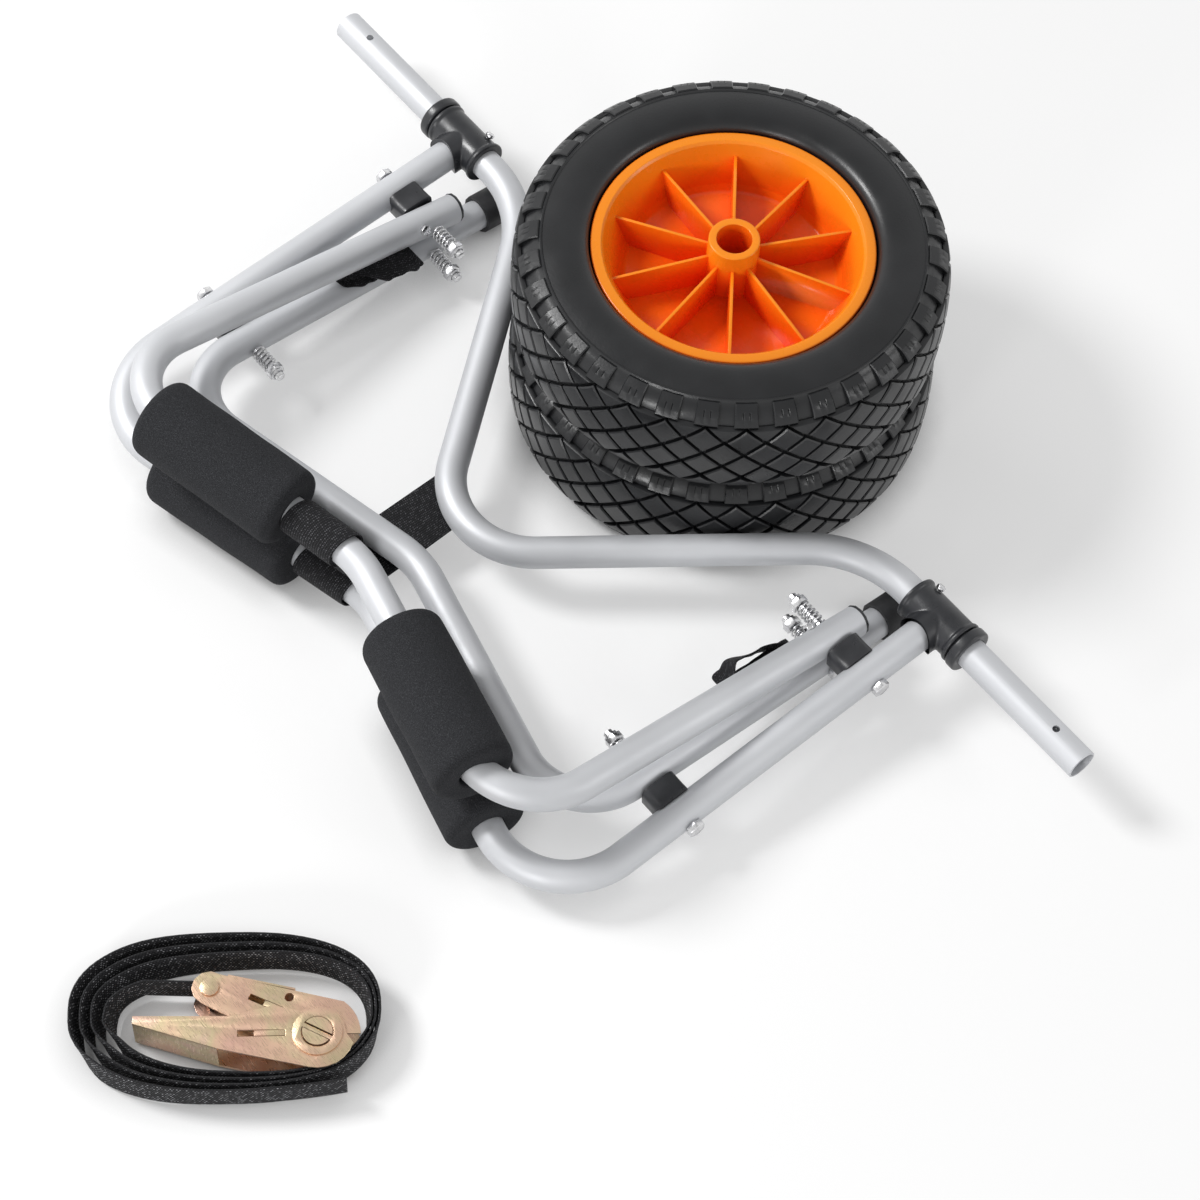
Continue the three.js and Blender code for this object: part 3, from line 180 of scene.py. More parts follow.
# Materials
class Surface:
    """A principled material and the few node chains that the cart's surfaces share."""

    def __init__(self, name, colour, roughness, metallic=0.0, specular=0.5):
        self.material = bpy.data.materials.new(name)
        self.material.use_nodes = True
        self.tree = self.material.node_tree
        self.shader = self.tree.nodes["Principled BSDF"]
        self.set("Base Color", (*colour, 1))
        self.set("Roughness", roughness)
        self.set("Metallic", metallic)
        self.set("Specular IOR Level", specular)

    def set(self, socket, value):
        self.shader.inputs[socket].default_value = value

    def add(self, kind, links=(), **values):
        node = self.tree.nodes.new(kind)
        for key, value in values.items():
            setattr(node, key, value)
        for index, source in enumerate(links):
            if isinstance(source, (int, float)):
                node.inputs[index].default_value = source
            elif source is not None:
                self.tree.links.new(source, node.inputs[index])
        return node

    def math(self, operation, *links):
        return self.add("ShaderNodeMath", links, operation=operation).outputs[0]

    def place(self, kind, scale=(1, 1, 1)):
        coordinates = self.add("ShaderNodeTexCoord").outputs[kind]
        mapping = self.add("ShaderNodeMapping", [coordinates])
        mapping.inputs["Scale"].default_value = scale
        return mapping.outputs[0]

    def noise(self, scale, detail=3.0, stretch=(1, 1, 1), kind="Object"):
        texture = self.add("ShaderNodeTexNoise", [self.place(kind, stretch)])
        texture.inputs["Scale"].default_value = scale
        texture.inputs["Detail"].default_value = detail
        return texture.outputs["Fac"]

    def range(self, source, low, high, start=0.3, end=0.7):
        return self.add("ShaderNodeMapRange", [source, start, end, low, high]).outputs[0]

    def tint(self, source, stops):
        ramp = self.add("ShaderNodeValToRGB", [source])
        while len(ramp.color_ramp.elements) < len(stops):
            ramp.color_ramp.elements.new(0.5)
        for element, (at, colour) in zip(ramp.color_ramp.elements, stops):
            element.position = at
            element.color = (*colour, 1)
        self.tree.links.new(ramp.outputs[0], self.shader.inputs["Base Color"])

    def vary(self, socket, source):
        self.tree.links.new(source, self.shader.inputs[socket])

    def bump(self, *layers):
        """Each layer is (height, depth in metres); later layers lie on the earlier ones."""
        normal = None
        for height, depth in layers:
            node = self.add("ShaderNodeBump")
            node.inputs["Strength"].default_value = 1.0
            node.inputs["Distance"].default_value = depth
            self.tree.links.new(height, node.inputs["Height"])
            if normal:
                self.tree.links.new(normal, node.inputs["Normal"])
            normal = node.outputs[0]
        self.tree.links.new(normal, self.shader.inputs["Normal"])


def grained(name, tints, cloud, gloss, rough, grain, depth, metallic=0.0):
    """Clouds of two tints, patches of gloss and a fine grain; each noise is a scale and a detail."""
    s = Surface(name, tints[0], rough[0], metallic)
    s.tint(s.noise(*cloud), list(zip((0.3, 0.7), tints)))
    s.vary("Roughness", s.range(s.noise(*gloss), *rough))
    s.bump((s.noise(*grain), depth))
    return s.material


def zinc():
    s = Surface("yellow_zinc", (0.74, 0.5, 0.36), 0.34, metallic=0.85)
    s.tint(s.noise(26, 4), [
        (0.3, (0.74, 0.46, 0.36)),
        (0.48, (0.79, 0.54, 0.38)),
        (0.6, (0.69, 0.56, 0.35)),
        (0.75, (0.77, 0.50, 0.43)),
    ])
    s.vary("Roughness", s.range(s.noise(140, 5, (1, 8, 1)), 0.22, 0.42))
    s.bump((s.noise(700, 4, (1, 6, 1)), 0.00005))
    return s.material


def foam():
    s = Surface("charcoal_foam", (0.028, 0.029, 0.032), 0.95, specular=0.25)
    cells = s.add("ShaderNodeTexVoronoi", [s.place("Object")])
    cells.inputs["Scale"].default_value = 1100
    grain = s.noise(1500, 3)
    s.tint(grain, [
        (0.35, (0.014, 0.0145, 0.016)),
        (0.6, (0.036, 0.037, 0.041)),
        (0.72, (0.075, 0.077, 0.083)),
    ])
    s.bump((s.noise(60, 3), 0.0006), (cells.outputs["Distance"], 0.0004), (grain, 0.0003))
    return s.material


def weave(name, colour, light, rib, pick, depth):
    """Webbing with its UV in metres: cords along it, crossed by picks in alternate steps."""
    s = Surface(name, colour, 0.8, specular=0.3)
    uv = s.add("ShaderNodeSeparateXYZ", [s.add("ShaderNodeUVMap").outputs[0]])
    along, across = uv.outputs[0], uv.outputs[1]
    cord = s.math("ABSOLUTE", s.math("SINE", s.math("MULTIPLY", across, math.pi / rib)))
    row = s.math("FLOOR", s.math("DIVIDE", across, rib))
    run = s.math("ADD", s.math("DIVIDE", along, pick), s.math("MULTIPLY", row, 0.5))
    crossing = s.math("ABSOLUTE", s.math("SINE", s.math("MULTIPLY", run, math.pi)))
    cloth = s.math("MULTIPLY", cord, crossing)
    spot = s.add("ShaderNodeCombineXYZ", [s.math("FLOOR", run), row])
    chance = s.add("ShaderNodeTexWhiteNoise", [spot.outputs[0]], noise_dimensions="2D").outputs["Value"]
    flecks_painted_sheen_and_shade = s.math("MULTIPLY", cloth, s.range(chance, 0.45, 1.0, 0.35, 0.95))
    # Painted shade darkens the valleys between cords and picks; the light tint on the crests of random
    # crossings is a fleck pattern brightened into a painted sheen where the weave stands highest.
    s.tint(flecks_painted_sheen_and_shade, [(0.1, [c * 0.35 for c in colour]), (0.48, colour), (0.95, light)])
    s.vary("Roughness", s.range(cloth, 0.92, 0.62, 0, 1))
    s.bump((cloth, depth), (s.noise(2500, 2, kind="UV"), depth / 5))
    return s.material


def orange_plastic():
    """Glossy moulded plastic, with painted shade that deepens it to red between the ribs."""
    s = Surface("orange_plastic", (0.98, 0.26, 0.008), 0.27, specular=0.4)
    shade = s.add("ShaderNodeAmbientOcclusion", samples=8)
    shade.inputs["Distance"].default_value = 0.07
    cloud = s.range(s.noise(18, 3), -0.05, 0.05)
    painted_shade_and_tone = s.math("ADD", shade.outputs["AO"], cloud)
    # Painted shade: the ambient occlusion turns the colour a darker red near the ribs and other close
    # surfaces; the cloud adds a faint random tone.
    s.tint(painted_shade_and_tone, [
        (0.12, (0.86, 0.085, 0.004)),
        (0.45, (0.96, 0.17, 0.005)),
        (0.8, (1.0, 0.29, 0.010)),
    ])
    s.vary("Roughness", s.range(s.noise(60, 3), 0.2, 0.33))
    s.bump((s.noise(350, 2), 0.00003))
    return s.material


ALUMINIUM = grained("satin_aluminium", ((0.62, 0.63, 0.652), (0.69, 0.70, 0.722)),
                    (9, 5), (45, 4), (0.48, 0.6), (2600, 2), 0.00002, metallic=0.42)
STEEL = grained("bright_steel", ((0.58, 0.58, 0.6), (0.8, 0.8, 0.8)),
                (160, 3), (420, 3), (0.16, 0.34), (900, 3), 0.00004, metallic=1.0)
ZINC = zinc()
PLASTIC = grained("moulded_black_plastic", ((0.018, 0.019, 0.022), (0.034, 0.035, 0.039)),
                  (60, 4), (90, 3), (0.25, 0.42), (1700, 2), 0.00006)
RUBBER = grained("foot_rubber", ((0.014, 0.014, 0.016), (0.026, 0.026, 0.028)),
                 (80, 4), (70, 3), (0.5, 0.72), (1200, 2), 0.0001)
FOAM = foam()
# The third colour of each webbing is its light flecks, painted brighter as a sheen on the weave's crests;
# the valleys are painted darker as shade.
STRAP = weave("ribbed_black_webbing", (0.02, 0.02, 0.023), (0.13, 0.13, 0.14), 0.0021, 0.0015, 0.0004)
TIE_DOWN = weave("tie_down_webbing", (0.032, 0.032, 0.035), (0.46, 0.46, 0.48), 0.0019, 0.0024, 0.0005)
TYRE = grained("tyre_rubber", ((0.008, 0.0085, 0.0095), (0.0125, 0.013, 0.0145)),
               (24, 5), (38, 4), (0.26, 0.40), (500, 3), 0.00009)
ORANGE = orange_plastic()
FINISHES = {
    "aluminium": ALUMINIUM,
    "steel": STEEL,
    "zinc_yellow": ZINC,
    "black_plastic": PLASTIC,
    "black_rubber": RUBBER,
    "foam": FOAM,
    "webbing": STRAP,
    "tyre_rubber": TYRE,
    "orange_plastic": ORANGE,
}


# Geometry helpers
CORE = 0.0002
DRILL_SIDES = 48


def smooth_group(angle):
    """Shades smooth, except across edges sharper than the angle."""
    group = bpy.data.node_groups.new("smooth_by_angle", "GeometryNodeTree")
    group.is_modifier = True
    group.interface.new_socket("Geometry", in_out="INPUT", socket_type="NodeSocketGeometry")
    group.interface.new_socket("Geometry", in_out="OUTPUT", socket_type="NodeSocketGeometry")
    source = group.nodes.new("NodeGroupInput")
    target = group.nodes.new("NodeGroupOutput")
    faces = group.nodes.new("GeometryNodeSetShadeSmooth")
    edges = group.nodes.new("GeometryNodeSetShadeSmooth")
    edges.domain = "EDGE"
    turn = group.nodes.new("GeometryNodeInputMeshEdgeAngle")
    compare = group.nodes.new("FunctionNodeCompare")
    compare.operation = "LESS_EQUAL"
    compare.inputs["B"].default_value = angle
    group.links.new(source.outputs[0], faces.inputs["Geometry"])
    group.links.new(faces.outputs[0], edges.inputs["Geometry"])
    group.links.new(turn.outputs["Unsigned Angle"], compare.inputs["A"])
    group.links.new(compare.outputs[0], edges.inputs["Shade Smooth"])
    group.links.new(edges.outputs[0], target.inputs[0])
    return group


SMOOTH = smooth_group(math.radians(38))


def finish_edges(piece, bevel=0.0, segments=2):
    """Smooth shading by angle, after a weld and a small bevel where one is asked for."""
    if bevel:
        weld = piece.modifiers.new("weld", "WELD")
        weld.merge_threshold = 2e-6
        modifier = piece.modifiers.new("worn edges", "BEVEL")
        modifier.width = bevel
        modifier.segments = segments
        modifier.limit_method = "ANGLE"
        modifier.angle_limit = math.radians(32)
        modifier.use_clamp_overlap = True
    shade = piece.modifiers.new("smooth by angle", "NODES")
    shade.node_group = SMOOTH


def new_piece(name, mesh, material):
    piece = bpy.data.objects.new(name, mesh)
    bpy.context.scene.collection.objects.link(piece)
    piece.data.materials.clear()
    piece.data.materials.append(material)
    return piece


def from_bmesh(name, bm, material, merge=1e-6):
    bmesh.ops.remove_doubles(bm, verts=bm.verts, dist=merge)
    bmesh.ops.recalc_face_normals(bm, faces=bm.faces)
    mesh = bpy.data.meshes.new(name)
    bm.to_mesh(mesh)
    bm.free()
    return new_piece(name, mesh, material)


def stand_in(piece, body, node, slot, bevel=0.0, segments=2):
    """The piece gets its edges, moves with the body and is shown for the CAD node; the slot is not used."""
    finish_edges(piece, bevel, segments)
    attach(piece, body)
    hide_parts(node)


def bridge(bm, a, b):
    """Quads between two rings with as many points."""
    for i in range(len(a)):
        j = (i + 1) % len(a)
        bm.faces.new((a[i], a[j], b[j], b[i]))


def loft(bm, rings, closed=False):
    """Quads between rings of points; the ends stay open unless the last ring joins the first."""
    grid = [[bm.verts.new(p) for p in ring] for ring in rings]
    pairs = list(zip(grid, grid[1:]))
    if closed:
        pairs.append((grid[-1], grid[0]))
    for a, b in pairs:
        bridge(bm, a, b)
    return grid


def closed_loft(bm, rings):
    """Loft with a flat face over each end."""
    grid = loft(bm, rings)
    bm.faces.new(grid[0])
    bm.faces.new(reversed(grid[-1]))
    return grid


def revolve(bm, profile, sides, centre=Vector()):
    """Closed profile of (radius, height) turned about a vertical axis."""
    rings = []
    for k in range(sides):
        a = 2 * math.pi * k / sides
        rings.append([centre + Vector((r * math.cos(a), r * math.sin(a), z)) for r, z in profile])
    return loft(bm, rings, closed=True)


def turned_solid(bm, profile, sides, matrix):
    """Adds a closed (radius, height) profile turned about Z and then placed by the matrix."""
    rings = revolve(bm, profile, sides)
    bmesh.ops.transform(bm, matrix=matrix, verts=[vertex for ring in rings for vertex in ring])


def circle(radius, sides):
    angles = [2 * math.pi * k / sides for k in range(sides)]
    return [(radius * math.cos(a), radius * math.sin(a)) for a in angles]


def prism(bm, outline, low, high, matrix):
    """Closed slab over an outline, between two heights."""
    closed_loft(bm, [[matrix @ Vector((x, y, z)) for x, y in outline] for z in (low, high)])


def bar_profile(radius, reach):
    """Half section of a round bar that reaches as far down as up."""
    return [(CORE, -reach), (radius, -reach), (radius, reach), (CORE, reach)]


def drill(radius, reach, matrix):
    """Round bar to cut a hole with."""
    bm = bmesh.new()
    turned_solid(bm, bar_profile(radius, reach), DRILL_SIDES, matrix)
    return from_bmesh("drill", bm, PLASTIC)


def carve(piece, tool):
    """Cuts the tool out of the piece for good."""
    material = piece.data.materials[0]
    modifier = piece.modifiers.new("cut", "BOOLEAN")
    modifier.operation = "DIFFERENCE"
    modifier.solver = "EXACT"
    modifier.object = tool
    bpy.context.view_layer.update()
    evaluated = piece.evaluated_get(bpy.context.evaluated_depsgraph_get())
    mesh = bpy.data.meshes.new_from_object(evaluated)
    piece.modifiers.clear()
    piece.data = mesh
    mesh.materials.clear()
    mesh.materials.append(material)
    bpy.data.objects.remove(tool)


def fillet(points, radii, steps=5):
    """Closed outline with each corner rounded by its own radius."""
    made = []
    count = len(points)
    for i, corner in enumerate(points):
        corner = Vector(corner)
        before = Vector(points[i - 1]) - corner
        after = Vector(points[(i + 1) % count]) - corner
        if radii[i] <= 0:
            made.append(tuple(corner))
            continue
        half = before.angle(after) / 2
        reach = min(radii[i] / math.tan(half), 0.45 * before.length, 0.45 * after.length)
        start = corner + before.normalized() * reach
        end = corner + after.normalized() * reach
        for k in range(steps + 1):
            t = k / steps
            made.append(tuple(start.lerp(corner, t).lerp(corner.lerp(end, t), t)))
    return made


def middle(node):
    low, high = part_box(node)
    return (low + high) / 2


def plane_from(origin, turned):
    return Matrix.Translation(Vector((0, origin.y, origin.z))) @ Matrix.Rotation(turned, 4, "X")


# Planes of the folded frames, from the pivot bolts, the plugs and the strap bolts of the CAD model
UPPER_PIVOT = middle("upper_pivot_bolt_left")
STAND_PIVOT = middle("stand_pivot_bolt_left")
PLUG = middle("upper_plug_left")
STRAP_BOLT = middle("strap_anchor_bolt_left")
LOWER_TILT = math.atan2(UPPER_PIVOT.z - STAND_PIVOT.z, UPPER_PIVOT.y - STAND_PIVOT.y)
UPPER_TILT = math.atan2(PLUG.z - UPPER_PIVOT.z, PLUG.y - UPPER_PIVOT.y)
STAND_TILT = math.atan2(STRAP_BOLT.z - STAND_PIVOT.z, STRAP_BOLT.y - STAND_PIVOT.y)
AXLE = Vector((0, UPPER_PIVOT.y, UPPER_PIVOT.z)) + UPPER_PIVOT_DEPTH * Vector(
    (0, math.cos(LOWER_TILT), math.sin(LOWER_TILT)))
LOWER_PLANE = plane_from(AXLE, LOWER_TILT)
AXLE_PLANE = plane_from(AXLE, AXLE_DIP)
UPPER_PLANE = plane_from(UPPER_PIVOT, UPPER_TILT)
STAND_PLANE = plane_from(STAND_PIVOT, STAND_TILT)
PAD_TO_STAND = (PAD_RADIUS + TUBE + STAND_CLEARANCE) / math.cos(BAR_ANGLE)
STAND_APEX = LOWER_APEX - STAND_PIVOT_DEPTH - PAD_TO_STAND


# Bent tubes
def bent_line(corners, radii):
    """Points and headings along straight runs joined by true bends."""
    corners = [Vector(c) for c in corners]
    line = [(corners[0], (corners[1] - corners[0]).normalized())]
    for i, radius in enumerate(radii, 1):
        before = (corners[i] - corners[i - 1]).normalized()
        after = (corners[i + 1] - corners[i]).normalized()
        angle = before.angle(after)
        side = math.copysign(1, before.x * after.y - before.y * after.x)
        start = corners[i] - before * radius * math.tan(angle / 2)
        normal = Vector((-before.y, before.x)) * side
        centre = start + normal * radius
        steps = math.ceil(angle / BEND_STEP)
        for k in range(steps + 1):
            turn = Matrix.Rotation(side * angle * k / steps, 2)
            line.append((centre + turn @ (start - centre), turn @ before))
    line.append((corners[-1], (corners[-1] - corners[-2]).normalized()))
    return line


def frame_line(half, apex, arm_end, corner):
    depth = apex + BAR_SLOPE * half
    corners = [(-half, arm_end), (-half, -depth), (0, -apex), (half, -depth), (half, arm_end)]
    return bent_line(corners, (corner, APEX_RADIUS, corner))


def tube(name, line, plane):
    bm = bmesh.new()

    def ring(at, heading, radius):
        across = Vector((-heading.y, heading.x, 0))
        points = []
        for k in range(TUBE_SIDES):
            a = 2 * math.pi * k / TUBE_SIDES
            offset = across * radius * math.cos(a) + Vector((0, 0, radius * math.sin(a)))
            points.append(plane @ (Vector((at.x, at.y, 0)) + offset))
        return points

    (first, start), (last, end) = line[0], line[-1]
    outer = [ring(first, start, TUBE - END_CHAMFER), ring(first + start * END_CHAMFER, start, TUBE)]
    outer += [ring(p, t, TUBE) for p, t in line[1:-1]]
    outer += [ring(last - end * END_CHAMFER, end, TUBE), ring(last, end, TUBE - END_CHAMFER)]
    inner = [ring(p, t, TUBE - WALL) for p, t in reversed(line)]
    loft(bm, outer + inner, closed=True)
    return from_bmesh(name, bm, ALUMINIUM)


def pin_holes():
    bm = bmesh.new()
    for side in (-1, 1):
        at = AXLE_PLANE @ Vector((side * (AXLE_HALF - LINCH_INSET), 0, 0))
        revolve(bm, bar_profile(LINCH_RADIUS, 2 * TUBE), PIN_HOLE_SIDES, at)
    return from_bmesh("pin_holes", bm, ALUMINIUM)


def build_tubes():
    axle = tube("axle_tube_bent", bent_line([
        (-AXLE_HALF, 0), (-AXLE_BEND, 0), (0, -AXLE_APEX), (AXLE_BEND, 0), (AXLE_HALF, 0),
    ], AXLE_RADII), AXLE_PLANE)
    carve(axle, pin_holes())
    stand_in(axle, "chassis", "axle_tube", "aluminium")
    for part, body, plane, line in (
        ("lower", "chassis", LOWER_PLANE, (LOWER_HALF, LOWER_APEX, -TUBE, LOWER_CORNER)),
        ("upper", "upper", UPPER_PLANE, (UPPER_HALF, UPPER_APEX, UPPER_TAIL, UPPER_CORNER)),
        ("stand", "stand", STAND_PLANE, (UPPER_HALF, STAND_APEX, STAND_PIVOT_DEPTH, STAND_CORNER)),
    ):
        piece = tube(f"{part}_frame_bent", frame_line(*line), plane)
        stand_in(piece, body, f"{part}_frame", "aluminium")


# Springs
def build_springs():
    for part, body in (("upper_pivot", "chassis"), ("stand_pivot", "chassis"), ("strap_anchor", "stand")):
        for side, _ in SIDES:
            node = f"{part}_spring_{side}"
            low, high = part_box(node)
            run = high.x - low.x - 2 * SPRING_WIRE
            centre = Vector((low.x + SPRING_WIRE, (low.y + high.y) / 2, (low.z + high.z) / 2))
            bm = bmesh.new()
            rings = []
            count = SPRING_TURNS * SPRING_STEPS
            for i in range(count + 1):
                a = 2 * math.pi * i / SPRING_STEPS
                spoke = Vector((0, math.cos(a), math.sin(a)))
                at = centre + spoke * SPRING_RADIUS + Vector((run * i / count, 0, 0))
                rings.append([at + SPRING_WIRE * (spoke * x + Vector((y, 0, 0)))
                              for x, y in circle(1, SPRING_SIDES)])
            closed_loft(bm, rings)
            piece = from_bmesh(f"{node}_wound", bm, STEEL)
            stand_in(piece, body, node, "steel")


# Moulded plastic: T connectors with their loose collars, and the saddles between the arms
MOULD_SIDES = 64
BORE = TUBE + 0.0003
TEE_HALF = 0.027
TEE_RADIUS = 0.0172
TEE_LIP = 0.0186
TEE_LIP_WIDTH = 0.0034
TEE_LIP_SLOPE_SHARE = 1.3
TEE_CORE = 0.004
TEE_ROUNDS = (0, 0.0008, 0.001, 0.002, 0.002, 0.001, 0.0008, 0)
TEE_GRAIN = 0.0007
SOCKET_RADIUS = 0.0166
SOCKET_REACH = 0.025
SOCKET_OVERRUN = 0.004
SOCKET_SADDLE = (0.030, 0.006)
COLLAR_HALF = 0.0045
COLLAR_RADIUS = 0.0192
COLLAR_GROOVE = 0.0012
COLLAR_ROUNDS = (0.0004, 0.0022, 0.0022, 0.0004)
SADDLE_TALL = 0.0095
SADDLE_DOME = 0.0012
SADDLE_END_GAP = 0.0005
SADDLE_ROUNDS = (0.002, 0.002, 0.0075, 0.0075)
SADDLE_PINCH_SHARE = 0.10
SADDLE_STEPS = 6
SADDLE_EDGE = 0.0009
BOLT_HOLE = (0.0043, 0.03)


def arm_place(sign):
    """Where the lower frame's arm meets the axle, and the same place turned along the axle and the arm."""
    at = LOWER_PLANE @ Matrix.Translation(Vector((sign * LOWER_HALF, 0, 0)))
    return at, at @ Matrix.Rotation(math.pi / 2, 4, "Y"), at @ Matrix.Rotation(math.pi / 2, 4, "X")


def tee_outline():
    """Half section of the barrel, with a raised lip at each end."""
    lip = TEE_HALF - TEE_LIP_WIDTH
    waist = TEE_HALF - TEE_LIP_SLOPE_SHARE * TEE_LIP_WIDTH
    return fillet([
        (TEE_CORE, -TEE_HALF), (TEE_LIP, -TEE_HALF), (TEE_LIP, -lip), (TEE_RADIUS, -waist),
        (TEE_RADIUS, waist), (TEE_LIP, lip), (TEE_LIP, TEE_HALF), (TEE_CORE, TEE_HALF),
    ], TEE_ROUNDS, 4)


def build_tee(side, at, along_axle, along_arm):
    """Barrel and socket under one skin, bored for the axle and the arm and hollowed over the bend."""
    socket = [(TEE_CORE, 0.0), (SOCKET_RADIUS, 0.0), (SOCKET_RADIUS, SOCKET_REACH), (TEE_CORE, SOCKET_REACH)]
    bm = bmesh.new()
    turned_solid(bm, tee_outline(), MOULD_SIDES, along_axle)
    turned_solid(bm, socket, MOULD_SIDES, along_arm)
    piece = from_bmesh(f"tee_{side}_moulded", bm, PLASTIC, 1e-7)
    skin = piece.modifiers.new("one skin", "REMESH")
    skin.mode = "VOXEL"
    skin.voxel_size = TEE_GRAIN
    soft = piece.modifiers.new("soft fillets", "SMOOTH")
    soft.factor = 0.5
    soft.iterations = 7
    carve(piece, drill(BORE, 2 * TEE_HALF, along_axle))
    reach = (SOCKET_REACH + SOCKET_OVERRUN) / 2
    carve(piece, drill(BORE, reach, along_arm @ Matrix.Translation(Vector((0, 0, reach)))))
    radius, depth = SOCKET_SADDLE
    hollow = Matrix.Translation(Vector((0, -(SOCKET_REACH - depth + radius), 0)))
    carve(piece, drill(radius, 2 * TUBE, at @ hollow))
    stand_in(piece, "chassis", f"tee_{side}", "black_plastic")


def build_collar(side, sign, along_axle):
    half = COLLAR_HALF
    outline = fillet([
        (BORE, -half), (COLLAR_RADIUS, -half), (COLLAR_RADIUS, half), (BORE, half),
    ], COLLAR_ROUNDS, 5)
    away = Matrix.Translation(Vector((0, 0, sign * (TEE_HALF + COLLAR_GROOVE + COLLAR_HALF))))
    bm = bmesh.new()
    turned_solid(bm, outline, MOULD_SIDES, along_axle @ away)
    piece = from_bmesh(f"tee_collar_{side}_moulded", bm, PLASTIC)
    stand_in(piece, "chassis", f"tee_collar_{side}", "black_plastic")


def build_saddle(node, along_arm):
    """Spacer with an arched back, hollowed where it sits on the lower frame's arm."""
    low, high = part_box(node)
    centre = middle(node)
    half = (high.y - low.y) / 2 - SADDLE_END_GAP
    foot, top = -SADDLE_TALL, SADDLE_TALL + SADDLE_DOME
    outline = fillet([(-half, foot), (half, foot), (half, top), (-half, top)], SADDLE_ROUNDS, 6)
    seat = plane_from(centre, LOWER_TILT)
    rings = []
    for i in range(SADDLE_STEPS + 1):
        x = low.x + (high.x - low.x) * i / SADDLE_STEPS
        pinch = 1 - SADDLE_PINCH_SHARE * math.sin(math.pi * i / SADDLE_STEPS)
        rings.append([seat @ Vector((x, y, z * (pinch if z > 0 else 1))) for y, z in outline])
    bm = bmesh.new()
    closed_loft(bm, rings)
    piece = from_bmesh(f"{node}_moulded", bm, PLASTIC)
    carve(piece, drill(BORE, 2 * STAND_PIVOT_DEPTH, along_arm))
    bolt = Matrix.Translation(centre) @ Matrix.Rotation(math.pi / 2, 4, "Y")
    carve(piece, drill(*BOLT_HOLE, bolt))
    stand_in(piece, "chassis", node, "black_plastic", SADDLE_EDGE, 3)


def build_mouldings():
    for side, sign in SIDES:
        at, along_axle, along_arm = arm_place(sign)
        build_tee(side, at, along_axle, along_arm)
        build_collar(side, sign, along_axle)
    for side, sign in SIDES:
        _, _, along_arm = arm_place(sign)
        for part in ("upper_pivot", "stand_pivot"):
            build_saddle(f"{part}_spacer_{side}", along_arm)


# Ratchet spindle: two half-moon bars between end discs and toothed wheels
SPINDLE_DISC = 0.018
SPINDLE_BAR = 0.0118
SPINDLE_RING = 0.0010
SPINDLE_SLOT = 0.0030
SPINDLE_TURNED = STRAP_TURNED - WHEEL_TURNED
SPINDLE_OVERRUN = 0.01
SPINDLE_EDGE = 0.0003
MOON_ROUND = 0.0008
DISC_THICK = 0.0012
DISC_PROUD = 0.0013
DISC_SIDES = 72
WHEEL_TEETH = 12
WHEEL_RADII = (0.0185, 0.0153)
WHEEL_LEVEL = 0.0052
WHEEL_THICK = 0.0015


def half_moon(radius, gap, sign, steps=28):
    """Outline of one half of a split disc, kept a gap from the slot's middle."""
    start = math.asin(gap / radius)
    angles = [start + (math.pi - 2 * start) * k / steps for k in range(steps + 1)]
    rounds = [MOON_ROUND] + [0] * (steps - 1) + [MOON_ROUND]
    return fillet([(radius * math.cos(a), sign * radius * math.sin(a)) for a in angles], rounds, 4)


def toothed_outline():
    teeth = []
    for k in range(WHEEL_TEETH):
        for radius, turn in zip(WHEEL_RADII, (k, k + 1)):
            a = 2 * math.pi * turn / WHEEL_TEETH
            teeth.append((radius * math.cos(a), radius * math.sin(a)))
    return teeth


def build_spindle():
    low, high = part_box("ratchet_spindle")
    centre = Matrix.Translation(Vector((*middle("ratchet_spindle").xy, 0)))
    spot = centre @ Matrix.Rotation(SPINDLE_TURNED, 4, "Z")
    wheel_spot = spot @ Matrix.Rotation(WHEEL_TURNED, 4, "Z")
    discs = bmesh.new()
    for level in (low.z + DISC_PROUD, high.z - DISC_PROUD - DISC_THICK):
        prism(discs, circle(SPINDLE_DISC, DISC_SIDES), level, level + DISC_THICK, spot)
    for level in (low.z + WHEEL_LEVEL, high.z - WHEEL_LEVEL - WHEEL_THICK):
        prism(discs, toothed_outline(), level, level + WHEEL_THICK, wheel_spot)
    piece = from_bmesh("ratchet_spindle_built", discs, ZINC, 1e-7)
    for sign in (-1, 1):
        hole = bmesh.new()
        outline = half_moon(SPINDLE_BAR, SPINDLE_SLOT / 2, sign)
        prism(hole, outline, low.z - SPINDLE_OVERRUN, high.z + SPINDLE_OVERRUN, spot)
        carve(piece, from_bmesh("bar_hole", hole, ZINC, 1e-7))
    whole = bmesh.new()
    whole.from_mesh(piece.data)
    for sign in (-1, 1):
        outline = half_moon(SPINDLE_BAR - SPINDLE_RING, SPINDLE_SLOT / 2 + SPINDLE_RING, sign)
        prism(whole, outline, low.z, high.z, spot)
    whole.to_mesh(piece.data)
    whole.free()
    stand_in(piece, "spindle", "ratchet_spindle", "zinc_yellow", SPINDLE_EDGE)


# Foam pads
def pad_profile():
    half = PAD_LENGTH / 2
    bore = TUBE + PAD_BORE_SLACK
    outline = fillet([
        (bore, -half), (PAD_RADIUS, -half), (PAD_RADIUS, half), (bore, half),
    ], [PAD_BORE_ROUND, PAD_ROUND, PAD_ROUND, PAD_BORE_ROUND], 8)
    made = []
    for i, point in enumerate(outline):
        following = Vector(outline[(i + 1) % len(outline)])
        span = (following - Vector(point)).length
        steps = max(1, round(span / PAD_STEP))
        made += [tuple(Vector(point).lerp(following, k / steps)) for k in range(steps)]
    return made


